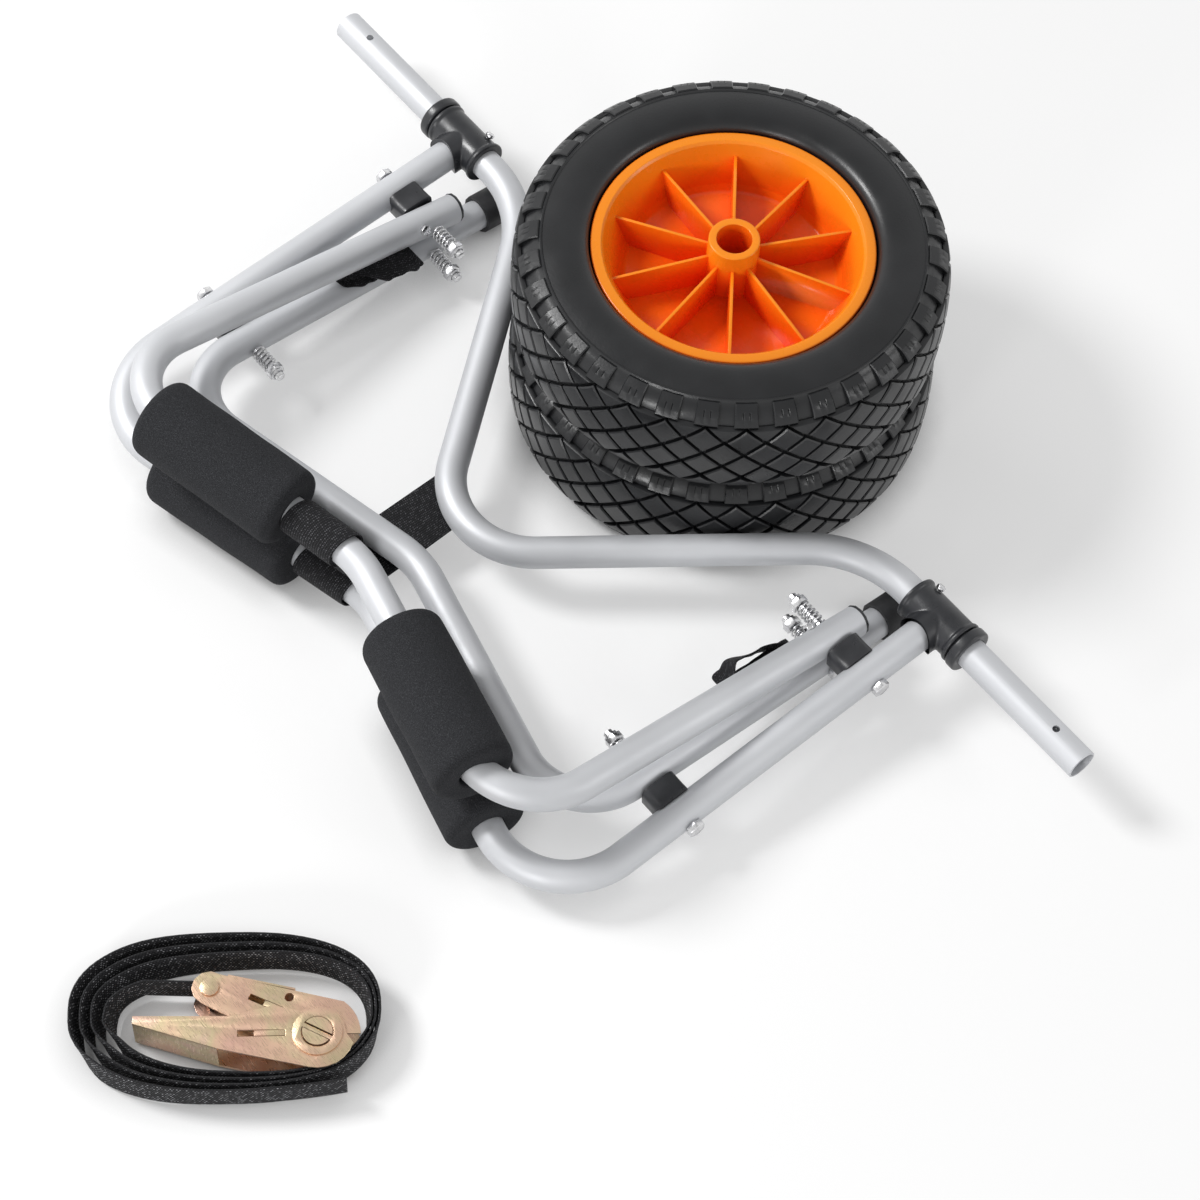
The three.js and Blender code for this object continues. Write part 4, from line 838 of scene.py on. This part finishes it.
def pad(name, side, inset, apex, plane, above, press):
    """Foam sleeve on a bar, flat where it is pressed on the pad that faces it and on the floor."""
    along = inset + PAD_LENGTH / 2
    turned = Matrix.Rotation(-side * BAR_ANGLE, 4, "Z")
    centre = Vector((side * along * math.cos(BAR_ANGLE), -(apex + along * math.sin(BAR_ANGLE)), 0))
    spot = plane @ Matrix.Translation(centre) @ turned
    to_press = press.inverted()
    bm = bmesh.new()
    profile = pad_profile()
    rings = []
    for k in range(PAD_SIDES):
        a = 2 * math.pi * k / PAD_SIDES
        ring = []
        for r, x in profile:
            if r > 0.8 * PAD_RADIUS:
                u, v = PAD_WAVES_ROUND * math.cos(a), PAD_WAVES_ROUND * math.sin(a)
                wave = noise.noise(Vector((x * PAD_WAVES_PER_METRE + side, u + above, v)))
                r += PAD_WAVE * wave - PAD_GAP
            ring.append(spot @ Vector((x, r * math.cos(a), r * math.sin(a))))
        rings.append(ring)
    loft(bm, rings, closed=True)
    for vertex in bm.verts:
        local = to_press @ vertex.co
        if above * local.z < PAD_GAP:
            local.z = above * PAD_GAP
            vertex.co = press @ local
        vertex.co.z = max(vertex.co.z, PAD_FLOOR_GAP)
    return from_bmesh(name, bm, FOAM)


def build_pads():
    press = plane_from(UPPER_PIVOT, (UPPER_TILT + LOWER_TILT) / 2)
    for side, sign in SIDES:
        for part, body, *place in (
            ("lower", "chassis", LOWER_PAD_AT[side], LOWER_APEX, LOWER_PLANE, -1),
            ("upper", "upper", UPPER_PAD_AT[side], UPPER_APEX, UPPER_PLANE, 1),
        ):
            piece = pad(f"{part}_pad_{side}_foam", sign, *place, press)
            stand_in(piece, body, f"{part}_pad_{side}", "foam")


# Wheels
def crown(z):
    """Radius of the tread's surface at a height from the middle of the tyre."""
    past = max(0, (abs(z) - CROWN_FLAT) / CROWN_EDGE)
    return TYRE_RADIUS - CROWN_DROP * (z / CROWN_FLAT) ** 2 - CROWN_EDGE_DROP * past ** 2


SHOULDER = [(0.1508, 0.0498), (0.1545, 0.0487), (0.1585, 0.0468), (0.1620, 0.0442), (0.1650, 0.0408),
            (0.1668, 0.0385)]


def shoulder(b, height):
    """Point of the lugs' outer curve at a share of its length, moved out by height."""
    at = b * (len(SHOULDER) - 1)
    i = min(int(at), len(SHOULDER) - 2)
    p, q = Vector(SHOULDER[i]), Vector(SHOULDER[i + 1])
    along = (q - p).normalized()
    return p.lerp(q, at - i) + Vector((-along.y, along.x)) * height


def block(bm, surface, rows, columns, bevel, depth, dips=()):
    """Closed block on a curved surface, whose top is a grid over -1 to 1 each way."""
    def point(p, q, share, height):
        return bm.verts.new(surface(p * share, q * share, height))

    top = [[point(p, q, 1 - bevel, -BLOCK_ROUND if (i, k) in dips else 0.0) for k, q in enumerate(columns)]
           for i, p in enumerate(rows)]
    for a, b in zip(top, top[1:]):
        for k in range(len(columns) - 1):
            bm.faces.new((a[k], a[k + 1], b[k + 1], b[k]))
    edge = [(rows[0], q) for q in columns[:-1]] + [(p, columns[-1]) for p in rows[:-1]]
    edge += [(rows[-1], q) for q in reversed(columns[1:])] + [(p, columns[0]) for p in reversed(rows[1:])]
    rim = top[0][:-1] + [row[-1] for row in top[:-1]] + top[-1][:0:-1] + [row[0] for row in top[:0:-1]]
    upper = [point(p, q, 1, -BLOCK_ROUND) for p, q in edge]
    lower = [point(p, q, 1, -depth) for p, q in edge]
    bridge(bm, rim, upper)
    bridge(bm, upper, lower)
    core = point(0, 0, 1, -depth)
    for i in range(len(lower)):
        bm.faces.new((lower[i], lower[(i + 1) % len(lower)], core))


def tread_block(bm, turn, height_at, half):
    """Diamond of the tread, or the half of one that ends at the lugs when half is the side that it keeps."""
    across = math.pi / LUGS * GROOVE_SHARE
    tall = TREAD_ROW * GROOVE_SHARE

    def surface(p, q, height):
        u, w = (p + q) / 2, (p - q) / 2
        if half:
            u, w = q * (1 - (p + 1) / 2), half * (0.09 + 0.86 * (p + 1) / 2)
        a = turn + u * across + 0.012 * math.sin(math.pi * w) * across
        z = height_at + w * tall
        r = crown(z) + height
        return Vector((r * math.cos(a), r * math.sin(a), z))

    lines = (-1, -0.4, 0.4, 1)
    block(bm, surface, lines, lines, BLOCK_SLOPE_SHARE, BLOCK_DEPTH)


def lug(bm, turn, side):
    across = LUG_SHARE * math.pi / LUGS
    rows = (-1, -0.3, -0.2, 0.25, 0.35, 1)
    columns = (-1, -0.42, -0.32, -0.22, 0.22, 0.32, 0.42, 1)
    dips = {(i, k) for i in (2, 3) for k in (2, 5)}

    def surface(p, q, height):
        spot = shoulder((p + 1) / 2, height)
        a = turn + q * across
        return Vector((spot.x * math.cos(a), spot.x * math.sin(a), side * spot.y))

    block(bm, surface, rows, columns, LUG_SLOPE_SHARE, LUG_DEPTH, dips)


def tyre_carcass():
    half = [
        (0.0932, 0.009), (0.1117, 0.0397), (0.1117, 0.0430), (0.1122, 0.0450), (0.1137, 0.0476),
        (0.1160, 0.0495), (0.1195, 0.0510), (0.1240, 0.0518), (0.1295, 0.0520), (0.1350, 0.0517),
        (0.1405, 0.0509), (0.1450, 0.0499), (0.1474, 0.0493), (0.1481, 0.0501), (0.1493, 0.0501),
        (0.1501, 0.0491), (0.1508, 0.0478),
        (0.1540, 0.0462), (0.1575, 0.0432), (0.1606, 0.0398), (0.1628, 0.0362), (0.1645, 0.0310),
        (0.1662, 0.0200), (0.1671, 0.0100), (0.1674, 0.0),
    ]
    return half + [(r, -z) for r, z in reversed(half[:-1])]


def tyre_mesh():
    bm = bmesh.new()
    revolve(bm, tyre_carcass(), 4 * LUGS)
    step = 2 * math.pi / LUGS
    levels = round(2 * TREAD_EDGE / TREAD_ROW)
    for i in range(LUGS):
        for side in (-1, 1):
            lug(bm, step * (i + 0.5), side)
        for level in range(levels + 1):
            z = TREAD_EDGE - level * TREAD_ROW
            half = {0: -1, levels: 1}.get(level, 0)
            tread_block(bm, step * (i + 0.5 * (level % 2)), z, half)
    return bm


def rim_mesh():
    bm = bmesh.new()
    upper = [
        (RIM_INNER, RIM_WEB), (0.083, RIM_WEB), (0.087, DISH_EDGE), (0.1005, 0.0418), (0.1025, FLANGE_LEVEL),
        (FLANGE_RADIUS, FLANGE_LEVEL), (FLANGE_RADIUS, 0.040), (0.092, DISH_EDGE),
    ]
    section = upper + [(r, -z) for r, z in reversed(upper)]
    rounds = [0, 0.004, 0.004, 0.0012, 0.0012, 0.0022, 0.0008, 0.003]
    revolve(bm, fillet(section, rounds + rounds[::-1], 4), RIM_SIDES)
    hub = [
        (HUB_BORE, -HUB_HALF), (HUB_RADIUS, -HUB_HALF), (HUB_WAIST, 0.0), (HUB_RADIUS, HUB_HALF),
        (HUB_BORE, HUB_HALF),
    ]
    revolve(bm, fillet(hub, [0.0008, 0.0014, 0.0, 0.0014, 0.0008], 4), HUB_SIDES)
    outline = [(RIM_INNER, 0.0), (0.0845, 0.0), (0.0885, DISH_EDGE), (0.0980, 0.032), (0.0195, RIB_TALL)]
    for i in range(RIBS):
        a = RIB_PHASE + 2 * math.pi * i / RIBS
        out = Vector((math.cos(a), math.sin(a), 0))
        across = Vector((-math.sin(a), math.cos(a), 0))
        for sign in (-1, 1):
            faces = []
            for edge in (-1, 1):
                ring = []
                for r, z in outline:
                    thick = RIB_HALF - RIB_TAPER * z / RIB_TALL
                    ring.append(bm.verts.new(out * r + across * edge * thick + Vector((0, 0, sign * z))))
                faces.append(ring)
            a_ring, b_ring = faces
            bm.faces.new(a_ring)
            bm.faces.new(reversed(b_ring))
            for k in range(len(outline)):
                j = (k + 1) % len(outline)
                bm.faces.new((a_ring[k], b_ring[k], b_ring[j], a_ring[j]))
    return bm


def build_wheels():
    for wheel in ("lower", "upper"):
        centre = middle(f"rim_{wheel}")
        for kind, make, material, slot, bevel in (
            ("tyre", tyre_mesh, TYRE, "tyre_rubber", 0.0),
            ("rim", rim_mesh, ORANGE, "orange_plastic", RIM_EDGE),
        ):
            bm = make()
            bmesh.ops.translate(bm, verts=bm.verts, vec=centre)
            piece = from_bmesh(f"{kind}_{wheel}_moulded", bm, material)
            stand_in(piece, f"wheel_{wheel}", f"{kind}_{wheel}", slot, bevel)


# Straps
STRAP_EDGE_SHARE = 0.55


def band(name, centres, across, thickness, material, columns=10):
    """Strap along a line of points with a width vector at each, thin edges and its UV in metres."""
    bm = bmesh.new()
    uv_layer = bm.loops.layers.uv.new("UVMap")
    count = len(centres)
    rings = []
    length = 0.0
    lengths = []
    for i, at in enumerate(centres):
        if i:
            length += (at - centres[i - 1]).length
        lengths.append(length)
        heading = (centres[min(i + 1, count - 1)] - centres[max(i - 1, 0)]).normalized()
        side = across[i]
        normal = heading.cross(side).normalized() * thickness / 2
        shares = [2 * k / columns - 1 for k in range(columns + 1)]
        ring = []
        for face, order in ((1, shares), (-1, reversed(shares))):
            for share in order:
                thick = face * (STRAP_EDGE_SHARE if abs(share) == 1 else 1)
                ring.append(at + side * share / 2 + normal * thick)
        rings.append(ring)
    grid = closed_loft(bm, rings)
    where = {}
    for i, ring in enumerate(grid):
        width = across[i].length
        for k, vertex in enumerate(ring):
            column = k if k <= columns else 2 * columns + 1 - k
            where[vertex] = (lengths[i], width * column / columns)
    for face in bm.faces:
        for loop in face.loops:
            loop[uv_layer].uv = where[loop.vert]
    bmesh.ops.recalc_face_normals(bm, faces=bm.faces)
    mesh = bpy.data.meshes.new(name)
    bm.to_mesh(mesh)
    bm.free()
    return new_piece(name, mesh, material)


def spline(points, step):
    """Catmull-Rom curve through the points, sampled at about the step."""
    made = []
    count = len(points)
    for i in range(count - 1):
        p0, p1 = points[max(i - 1, 0)], points[i]
        p2, p3 = points[i + 1], points[min(i + 2, count - 1)]
        parts = max(1, round((p2 - p1).length / step))
        for k in range(parts):
            t = k / parts
            made.append(0.5 * (2 * p1 + (p2 - p0) * t + (2 * p0 - 5 * p1 + 4 * p2 - p3) * t ** 2
                               + (3 * p1 - p0 - 3 * p2 + p3) * t ** 3))
    made.append(points[-1])
    return made


# Wound webbing of the tie-down strap, on the spiral that the CAD solid follows
COIL_HALF = (0.114, 0.0655)
COIL_FULLNESS = 0.82
COIL_TURNS = 4
COIL_FIRST = 0.38
COIL_LAST = 3.79
COIL_STEPS = 72
COIL_TAIL = 0.053
COIL_TAIL_LIFT = 0.003
COIL_PITCH = (0.0031, 0.0098)
COIL_TIGHT = math.radians(-30)
SPINDLE_IN_COIL = Vector((0.067, -0.021))
WEBBING = (0.0022, 0.025)
RIVET_RADIUS = 0.004
RIVET_GAP = 0.0003
WRAP_TURN = math.radians(190)
WRAP_STEPS = 18
LEAD_STEPS = 8
TAIL_STEPS = 12
LEAD_SETTLED = 0.38
LEAD_LOW_AT = 0.036
# Degrees round the coil, and how far its top edge leans inwards there
COIL_LEAN = ((0, -0.004), (40, -0.005), (90, -0.003), (130, -0.008), (172, -0.010), (186, -0.0085),
             (224, 0.0022), (245, 0.0016), (270, 0.0), (310, 0.002), (338, 0.0), (360, -0.004))
# Share of the lead's way down over which the lean comes in
LEAN_SHARE = 0.4


def coil_point(turn):
    angle = 2 * math.pi * turn
    loose = (1 - math.cos(angle - COIL_TIGHT)) / 2
    pitch = COIL_PITCH[0] + (COIL_PITCH[1] - COIL_PITCH[0]) * loose
    reach = (COIL_TURNS - turn) * pitch + WEBBING[0] / 2
    flat = [math.copysign(abs(v) ** COIL_FULLNESS, v) for v in (math.cos(angle), math.sin(angle))]
    return Vector(((COIL_HALF[0] - reach) * flat[0], (COIL_HALF[1] - reach) * flat[1]))


def eased_row(rows, at):
    """The values that follow a row's first number, eased between the rows before and after it."""
    for before, after in zip(rows, rows[1:]):
        if at <= after[0]:
            t = (at - before[0]) / (after[0] - before[0])
            t = t * t * (3 - 2 * t)
            return [a + (b - a) * t for a, b in zip(before[1:], after[1:])]
    return rows[-1][1:]


def webbing_path(rivet):
    """Rows of flat place, how far the lead has settled there and the top edge's lean, from the rivet out."""
    wrap = RIVET_RADIUS + RIVET_GAP + WEBBING[0] / 2
    rows = []
    for i in range(WRAP_STEPS + 1):
        angle = math.pi / 2 - WRAP_TURN * (1 - i / WRAP_STEPS)
        rows.append((rivet + wrap * Vector((math.cos(angle), math.sin(angle))), 0.0, 0.0))
    join = coil_point(COIL_FIRST)
    leave = rows[-1][0]
    for i in range(1, LEAD_STEPS):
        rows.append((leave.lerp(join, i / LEAD_STEPS), 0.0, 0.0))
    steps = round((COIL_LAST - COIL_FIRST) * COIL_STEPS)
    for i in range(steps + 1):
        turn = COIL_FIRST + (COIL_LAST - COIL_FIRST) * i / steps
        settled = (turn - COIL_FIRST) / LEAD_SETTLED
        lean, = eased_row(COIL_LEAN, math.degrees(2 * math.pi * turn) % 360)
        rows.append((coil_point(turn), settled, lean * min(1, settled / LEAN_SHARE)))
    last = rows[-1][0]
    heading = (last - rows[-2][0]).normalized()
    for i in range(1, TAIL_STEPS + 1):
        share = i / TAIL_STEPS
        bend = Vector((0, COIL_TAIL_LIFT * share * share))
        rows.append((last + heading * COIL_TAIL * share + bend, 1.0, 0.0))
    return rows


def build_webbing():
    rivet = middle("ratchet_rivet")
    lift = rivet.z - WEBBING[1] / 2
    turned = Matrix.Rotation(STRAP_TURNED, 2)
    coil_at = middle("ratchet_spindle").xy - turned @ SPINDLE_IN_COIL
    rows = webbing_path(turned.inverted() @ (rivet.xy - coil_at))
    centres = []
    across = []
    for i, (p, settled, lean) in enumerate(rows):
        near_rivet = min(1, max(0, (p.x + COIL_HALF[0]) / (LEAD_LOW_AT + COIL_HALF[0])))
        height = lift * max(1 - min(settled, 1), near_rivet)
        flat = coil_at + turned @ p
        inward = (coil_at - flat).normalized()
        flat -= inward * abs(lean) / 2 * (1 - i / len(rows))
        centres.append(Vector((flat.x, flat.y, height + WEBBING[1] / 2)))
        inward *= lean
        across.append(Vector((inward.x, inward.y, math.sqrt(WEBBING[1] ** 2 - lean ** 2))))
    piece = band("tie_down_webbing_woven", centres, across, WEBBING[0], TIE_DOWN, columns=8)
    stand_in(piece, "ratchet", "tie_down_webbing", "webbing")


# Centre strap: sewn loops round the bars, the run to the axle and the drop between the bars
STRAP_EDGES = (-0.012, -0.0595)
STRAP_THICKNESS = 0.0017
STRAP_GAP = 0.0003
STRAP_ON_STAND = 0.0012
STRAP_ON_BAR = 0.0035
STRAP_SAG = 0.0015
STRAP_BELLY = 0.004
LOOP_RADIUS = 0.0144
LOOP_SLACK = 0.0019
LOOP_STEPS = 36
AXLE_FLAT = 0.033


def bar_at(plane, apex, x, height=0.0):
    """Point at x along a frame's V bar, at a height over the middle of the tube."""
    return plane @ Vector((x, -(apex + BAR_SLOPE * abs(x)), height))


def loop_round(plane, apex, x, turns, start):
    """Points round a bar where it crosses x, in the plane's own section."""
    steps = round(LOOP_STEPS * turns)
    made = []
    for i in range(steps + 1):
        a = start + 2 * math.pi * turns * i / steps
        r = LOOP_RADIUS + LOOP_SLACK * i / steps
        made.append(plane @ Vector((x, -(apex + BAR_SLOPE * abs(x)) + r * math.cos(a), r * math.sin(a))))
    return made


def axle_under(x):
    """Point under the axle's V at x, where the strap lies on it."""
    slope = AXLE_APEX / AXLE_BEND
    depth = min(AXLE_APEX - slope * abs(x), AXLE_APEX - AXLE_FLAT)
    return AXLE_PLANE @ Vector((x, -depth, -TUBE - STRAP_THICKNESS / 2 - STRAP_GAP))


def centre_strap_piece(name, loops, ways):
    """Strap between two edge lines, each a loop and then the way on from it."""
    count = min(len(way) for way in ways)
    inner, outer = [loop + resample(way, count)[1:] for loop, way in zip(loops, ways)]
    centres = [(a + b) / 2 for a, b in zip(inner, outer)]
    across = [b - a for a, b in zip(inner, outer)]
    return band(name, centres, across, STRAP_THICKNESS, STRAP, columns=14)


def build_lower_centre_strap():
    loops = []
    ways = []
    for x in STRAP_EDGES:
        loop = loop_round(LOWER_PLANE, LOWER_APEX, x, 1.15, math.radians(-144))
        loop.reverse()
        start = loop[-1]
        under = bar_at(STAND_PLANE, STAND_APEX, x, -TUBE - STRAP_ON_STAND)
        sag = start.lerp(under, 0.35) - Vector((0, 0, STRAP_SAG))
        loops.append(loop)
        ways.append(spline([start, sag, under, axle_under(x)], 0.004))
    piece = centre_strap_piece("centre_strap_woven", loops, ways)
    stand_in(piece, "chassis", "centre_strap", "webbing")


def build_upper_centre_strap():
    loops = []
    ways = []
    for x in STRAP_EDGES:
        loop = loop_round(UPPER_PLANE, UPPER_APEX, x, 1.25, math.radians(-180))
        end = loop[-1]
        on_bar = bar_at(LOWER_PLANE, LOWER_APEX, x, LOOP_RADIUS + STRAP_ON_BAR)
        belly = end.lerp(on_bar, 0.5) - Vector((0, STRAP_BELLY, 0))
        loops.append(loop)
        ways.append(spline([end, belly, on_bar], 0.003))
    piece = centre_strap_piece("centre_strap_upper_woven", loops, ways)
    finish_edges(piece)
    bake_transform(piece)
    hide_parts("centre_strap_upper")


def resample(points, count):
    """The same line with the given number of evenly spread points."""
    lengths = [0.0]
    for a, b in zip(points, points[1:]):
        lengths.append(lengths[-1] + (b - a).length)
    made = []
    for k in range(count):
        target = lengths[-1] * k / (count - 1)
        i = max(j for j, value in enumerate(lengths) if value <= target + 1e-12)
        i = min(i, len(points) - 2)
        span = lengths[i + 1] - lengths[i]
        made.append(points[i].lerp(points[i + 1], (target - lengths[i]) / span))
    return made


# Side straps: folded between the stand arm and the upper arm, bulging inwards at the fold
SIDE_START = 0.097
SIDE_END = 0.160
SIDE_THICKNESS = 0.0014
SIDE_GAP = 0.001
SIDE_FOLD_SHARE = 0.8
SIDE_RIPPLE = {"left": 0.0042, "right": 0.0008}
# Share of the length from the stand arm to the upper arm, shift inwards, twist and share of the width
SIDE_SHAPE = {
    "left": ((0, 0.002, 0, 1), (0.35, -0.006, 0, 1), (0.5, -0.016, 0, 0.9), (0.64, -0.010, 12, 0.95),
             (0.78, 0.004, 24, 1), (0.92, 0.0075, 10, 0.9), (1, 0.005, 0, 0.85)),
    "right": ((0, 0, 0, 1), (0.45, 0, 0, 1), (0.5, 0.003, 6, 0.9), (0.58, 0.011, 34, 0.8),
              (0.68, 0.018, 52, 0.8), (0.82, 0.014, 70, 0.85), (1, 0.004, 78, 0.9)),
}


def build_side_straps():
    for side, sign in SIDES:
        low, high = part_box(f"side_strap_{side}")
        width = high.x - low.x
        centre_x = (low.x + high.x) / 2
        reach = TUBE + SIDE_GAP
        a, b = [STAND_PLANE @ Vector((0, STAND_PIVOT_DEPTH - d, reach)) for d in (SIDE_START, SIDE_END)]
        c, d = [UPPER_PLANE @ Vector((0, UPPER_PIVOT_DEPTH - d, -reach)) for d in (SIDE_END, SIDE_START)]
        mid = (b + c) / 2
        fold = mid + (mid - (a + d) / 2).normalized() * (b - c).length * SIDE_FOLD_SHARE
        line = spline([a, a.lerp(b, 0.5), b, fold, c, c.lerp(d, 0.5), d], 0.002)
        ripple = SIDE_RIPPLE[side]
        centres = []
        across = []
        for i, p in enumerate(line):
            share = i / (len(line) - 1)
            shift, twist, narrow = eased_row(SIDE_SHAPE[side], share)
            shift += ripple * noise.noise(Vector((share * 15, sign * 3.1, 0.4)))
            lift = ripple * noise.noise(Vector((share * 14, sign * 1.7, 5.2))) * math.sin(math.pi * share)
            centres.append(Vector((centre_x - sign * shift, p.y, p.z + lift)))
            turned = math.radians(twist)
            across.append(Vector((-sign * math.cos(turned), 0, -math.sin(turned))) * width * narrow)
        piece = band(f"side_strap_{side}_woven", centres, across, SIDE_THICKNESS, STRAP)
        stand_in(piece, "upper", f"side_strap_{side}", "webbing")


# CAD nodes that stay: worn edges, smooth shading and their material
NODE_BEVEL = 0.0004
BEVELS = {"ratchet": 0.0003, "tee_": 0.0009, "stand_foot": 0.0006, "upper_plug": 0.0005}


def dress_nodes():
    slots = {entry["node"]: entry["material_slot"] for entry in frame["record"]["subparts"]}
    for name, piece in nodes.items():
        if piece.hide_render:
            continue
        piece.data.materials.clear()
        piece.data.materials.append(FINISHES[slots[name]])
        bevel = next((width for prefix, width in BEVELS.items() if name.startswith(prefix)), NODE_BEVEL)
        finish_edges(piece, bevel)


# Floor and lights; each light has its place, its aim, its size and its share of full white
FLOOR_HALF = 9.0
FLOOR_LEVEL = -0.0002
# Reach of the painted contact shadow on the floor
PAINTED_SHADE_REACH = 0.03
AMBIENT = 0.4
HORIZON = 1.15
ZENITH = 0.5
LIGHTS = {
    "key": ((-2.3, -1.5, 3.0), (0, 0, 0), 1.2, 0.50),
    "side": ((2.4, 1.9, 1.5), (0, 0.1, 0.1), 1.2, 0.05),
    "glint": ((0.9, -2.2, 0.9), (0.1, 0.1, 0.1), 0.5, 0.07),
}


def build_floor():
    bm = bmesh.new()
    corners = [(-1, -1), (1, -1), (1, 1), (-1, 1)]
    bm.faces.new([bm.verts.new((FLOOR_HALF * x, FLOOR_HALF * y, FLOOR_LEVEL)) for x, y in corners])
    s = Surface("pale_floor", (0.6, 0.6, 0.6), 0.9, specular=0.1)
    s.tint(s.noise(2.0, 2), [(0.3, (0.595, 0.595, 0.595)), (0.7, (0.605, 0.605, 0.605))])
    path = s.add("ShaderNodeLightPath").outputs
    seen = s.math("MAXIMUM", path["Is Camera Ray"], path["Is Glossy Ray"])
    s.set("Emission Color", (1, 1, 1, 1))
    # Painted shadow: the ambient occlusion dims the floor's glow near the cart and in narrow gaps.
    painted_contact_shade = s.add("ShaderNodeAmbientOcclusion", samples=6)
    painted_contact_shade.inputs["Distance"].default_value = PAINTED_SHADE_REACH
    glow_with_painted_shade = s.range(painted_contact_shade.outputs["AO"], 0.0, 0.42, 0.1, 0.95)
    s.vary("Emission Strength", s.math("MULTIPLY", seen, glow_with_painted_shade))
    from_bmesh("floor", bm, s.material)


def build_world():
    """Even light all round; reflections see it bright at the horizon and dimmer overhead."""
    world = bpy.data.worlds.new("studio")
    bpy.context.scene.world = world
    world.use_nodes = True
    tree = world.node_tree
    background = tree.nodes["Background"]
    background.inputs["Color"].default_value = (1, 1, 1, 1)
    path = tree.nodes.new("ShaderNodeLightPath").outputs
    height = tree.nodes.new("ShaderNodeSeparateXYZ")
    tree.links.new(tree.nodes.new("ShaderNodeTexCoord").outputs["Generated"], height.inputs[0])

    def between(value, low, high):
        node = tree.nodes.new("ShaderNodeMapRange")
        tree.links.new(value, node.inputs["Value"])
        for socket, end in (("To Min", low), ("To Max", high)):
            if isinstance(end, float):
                node.inputs[socket].default_value = end
            else:
                tree.links.new(end, node.inputs[socket])
        return node.outputs[0]

    sky = between(height.outputs["Z"], HORIZON, ZENITH)
    level = between(path["Is Camera Ray"], between(path["Is Glossy Ray"], AMBIENT, sky), 1.0)
    tree.links.new(level, background.inputs["Strength"])


def area_light(name, at, aim, size, share):
    """Soft light that gives a level surface at its aim the given share of full white."""
    at, aim = Vector(at), Vector(aim)
    way = aim - at
    data = bpy.data.lights.new(name, "AREA")
    data.shape = "DISK"
    data.size = size
    data.energy = share * math.pi ** 2 * way.length_squared / max(0.2, -way.normalized().z)
    lamp = bpy.data.objects.new(name, data)
    lamp.location = at
    lamp.rotation_mode = "QUATERNION"
    lamp.rotation_quaternion = way.to_track_quat("-Z", "Y")
    bpy.context.scene.collection.objects.link(lamp)


def build_lights():
    build_world()
    for name, (at, aim, size, share) in LIGHTS.items():
        area_light(name, at, aim, size, share)


build_tubes()
build_springs()
build_mouldings()
build_spindle()
build_pads()
build_wheels()
build_webbing()
build_lower_centre_strap()
build_upper_centre_strap()
build_side_straps()
dress_nodes()
build_floor()
build_lights()
bpy.context.scene.view_settings.view_transform = "Standard"
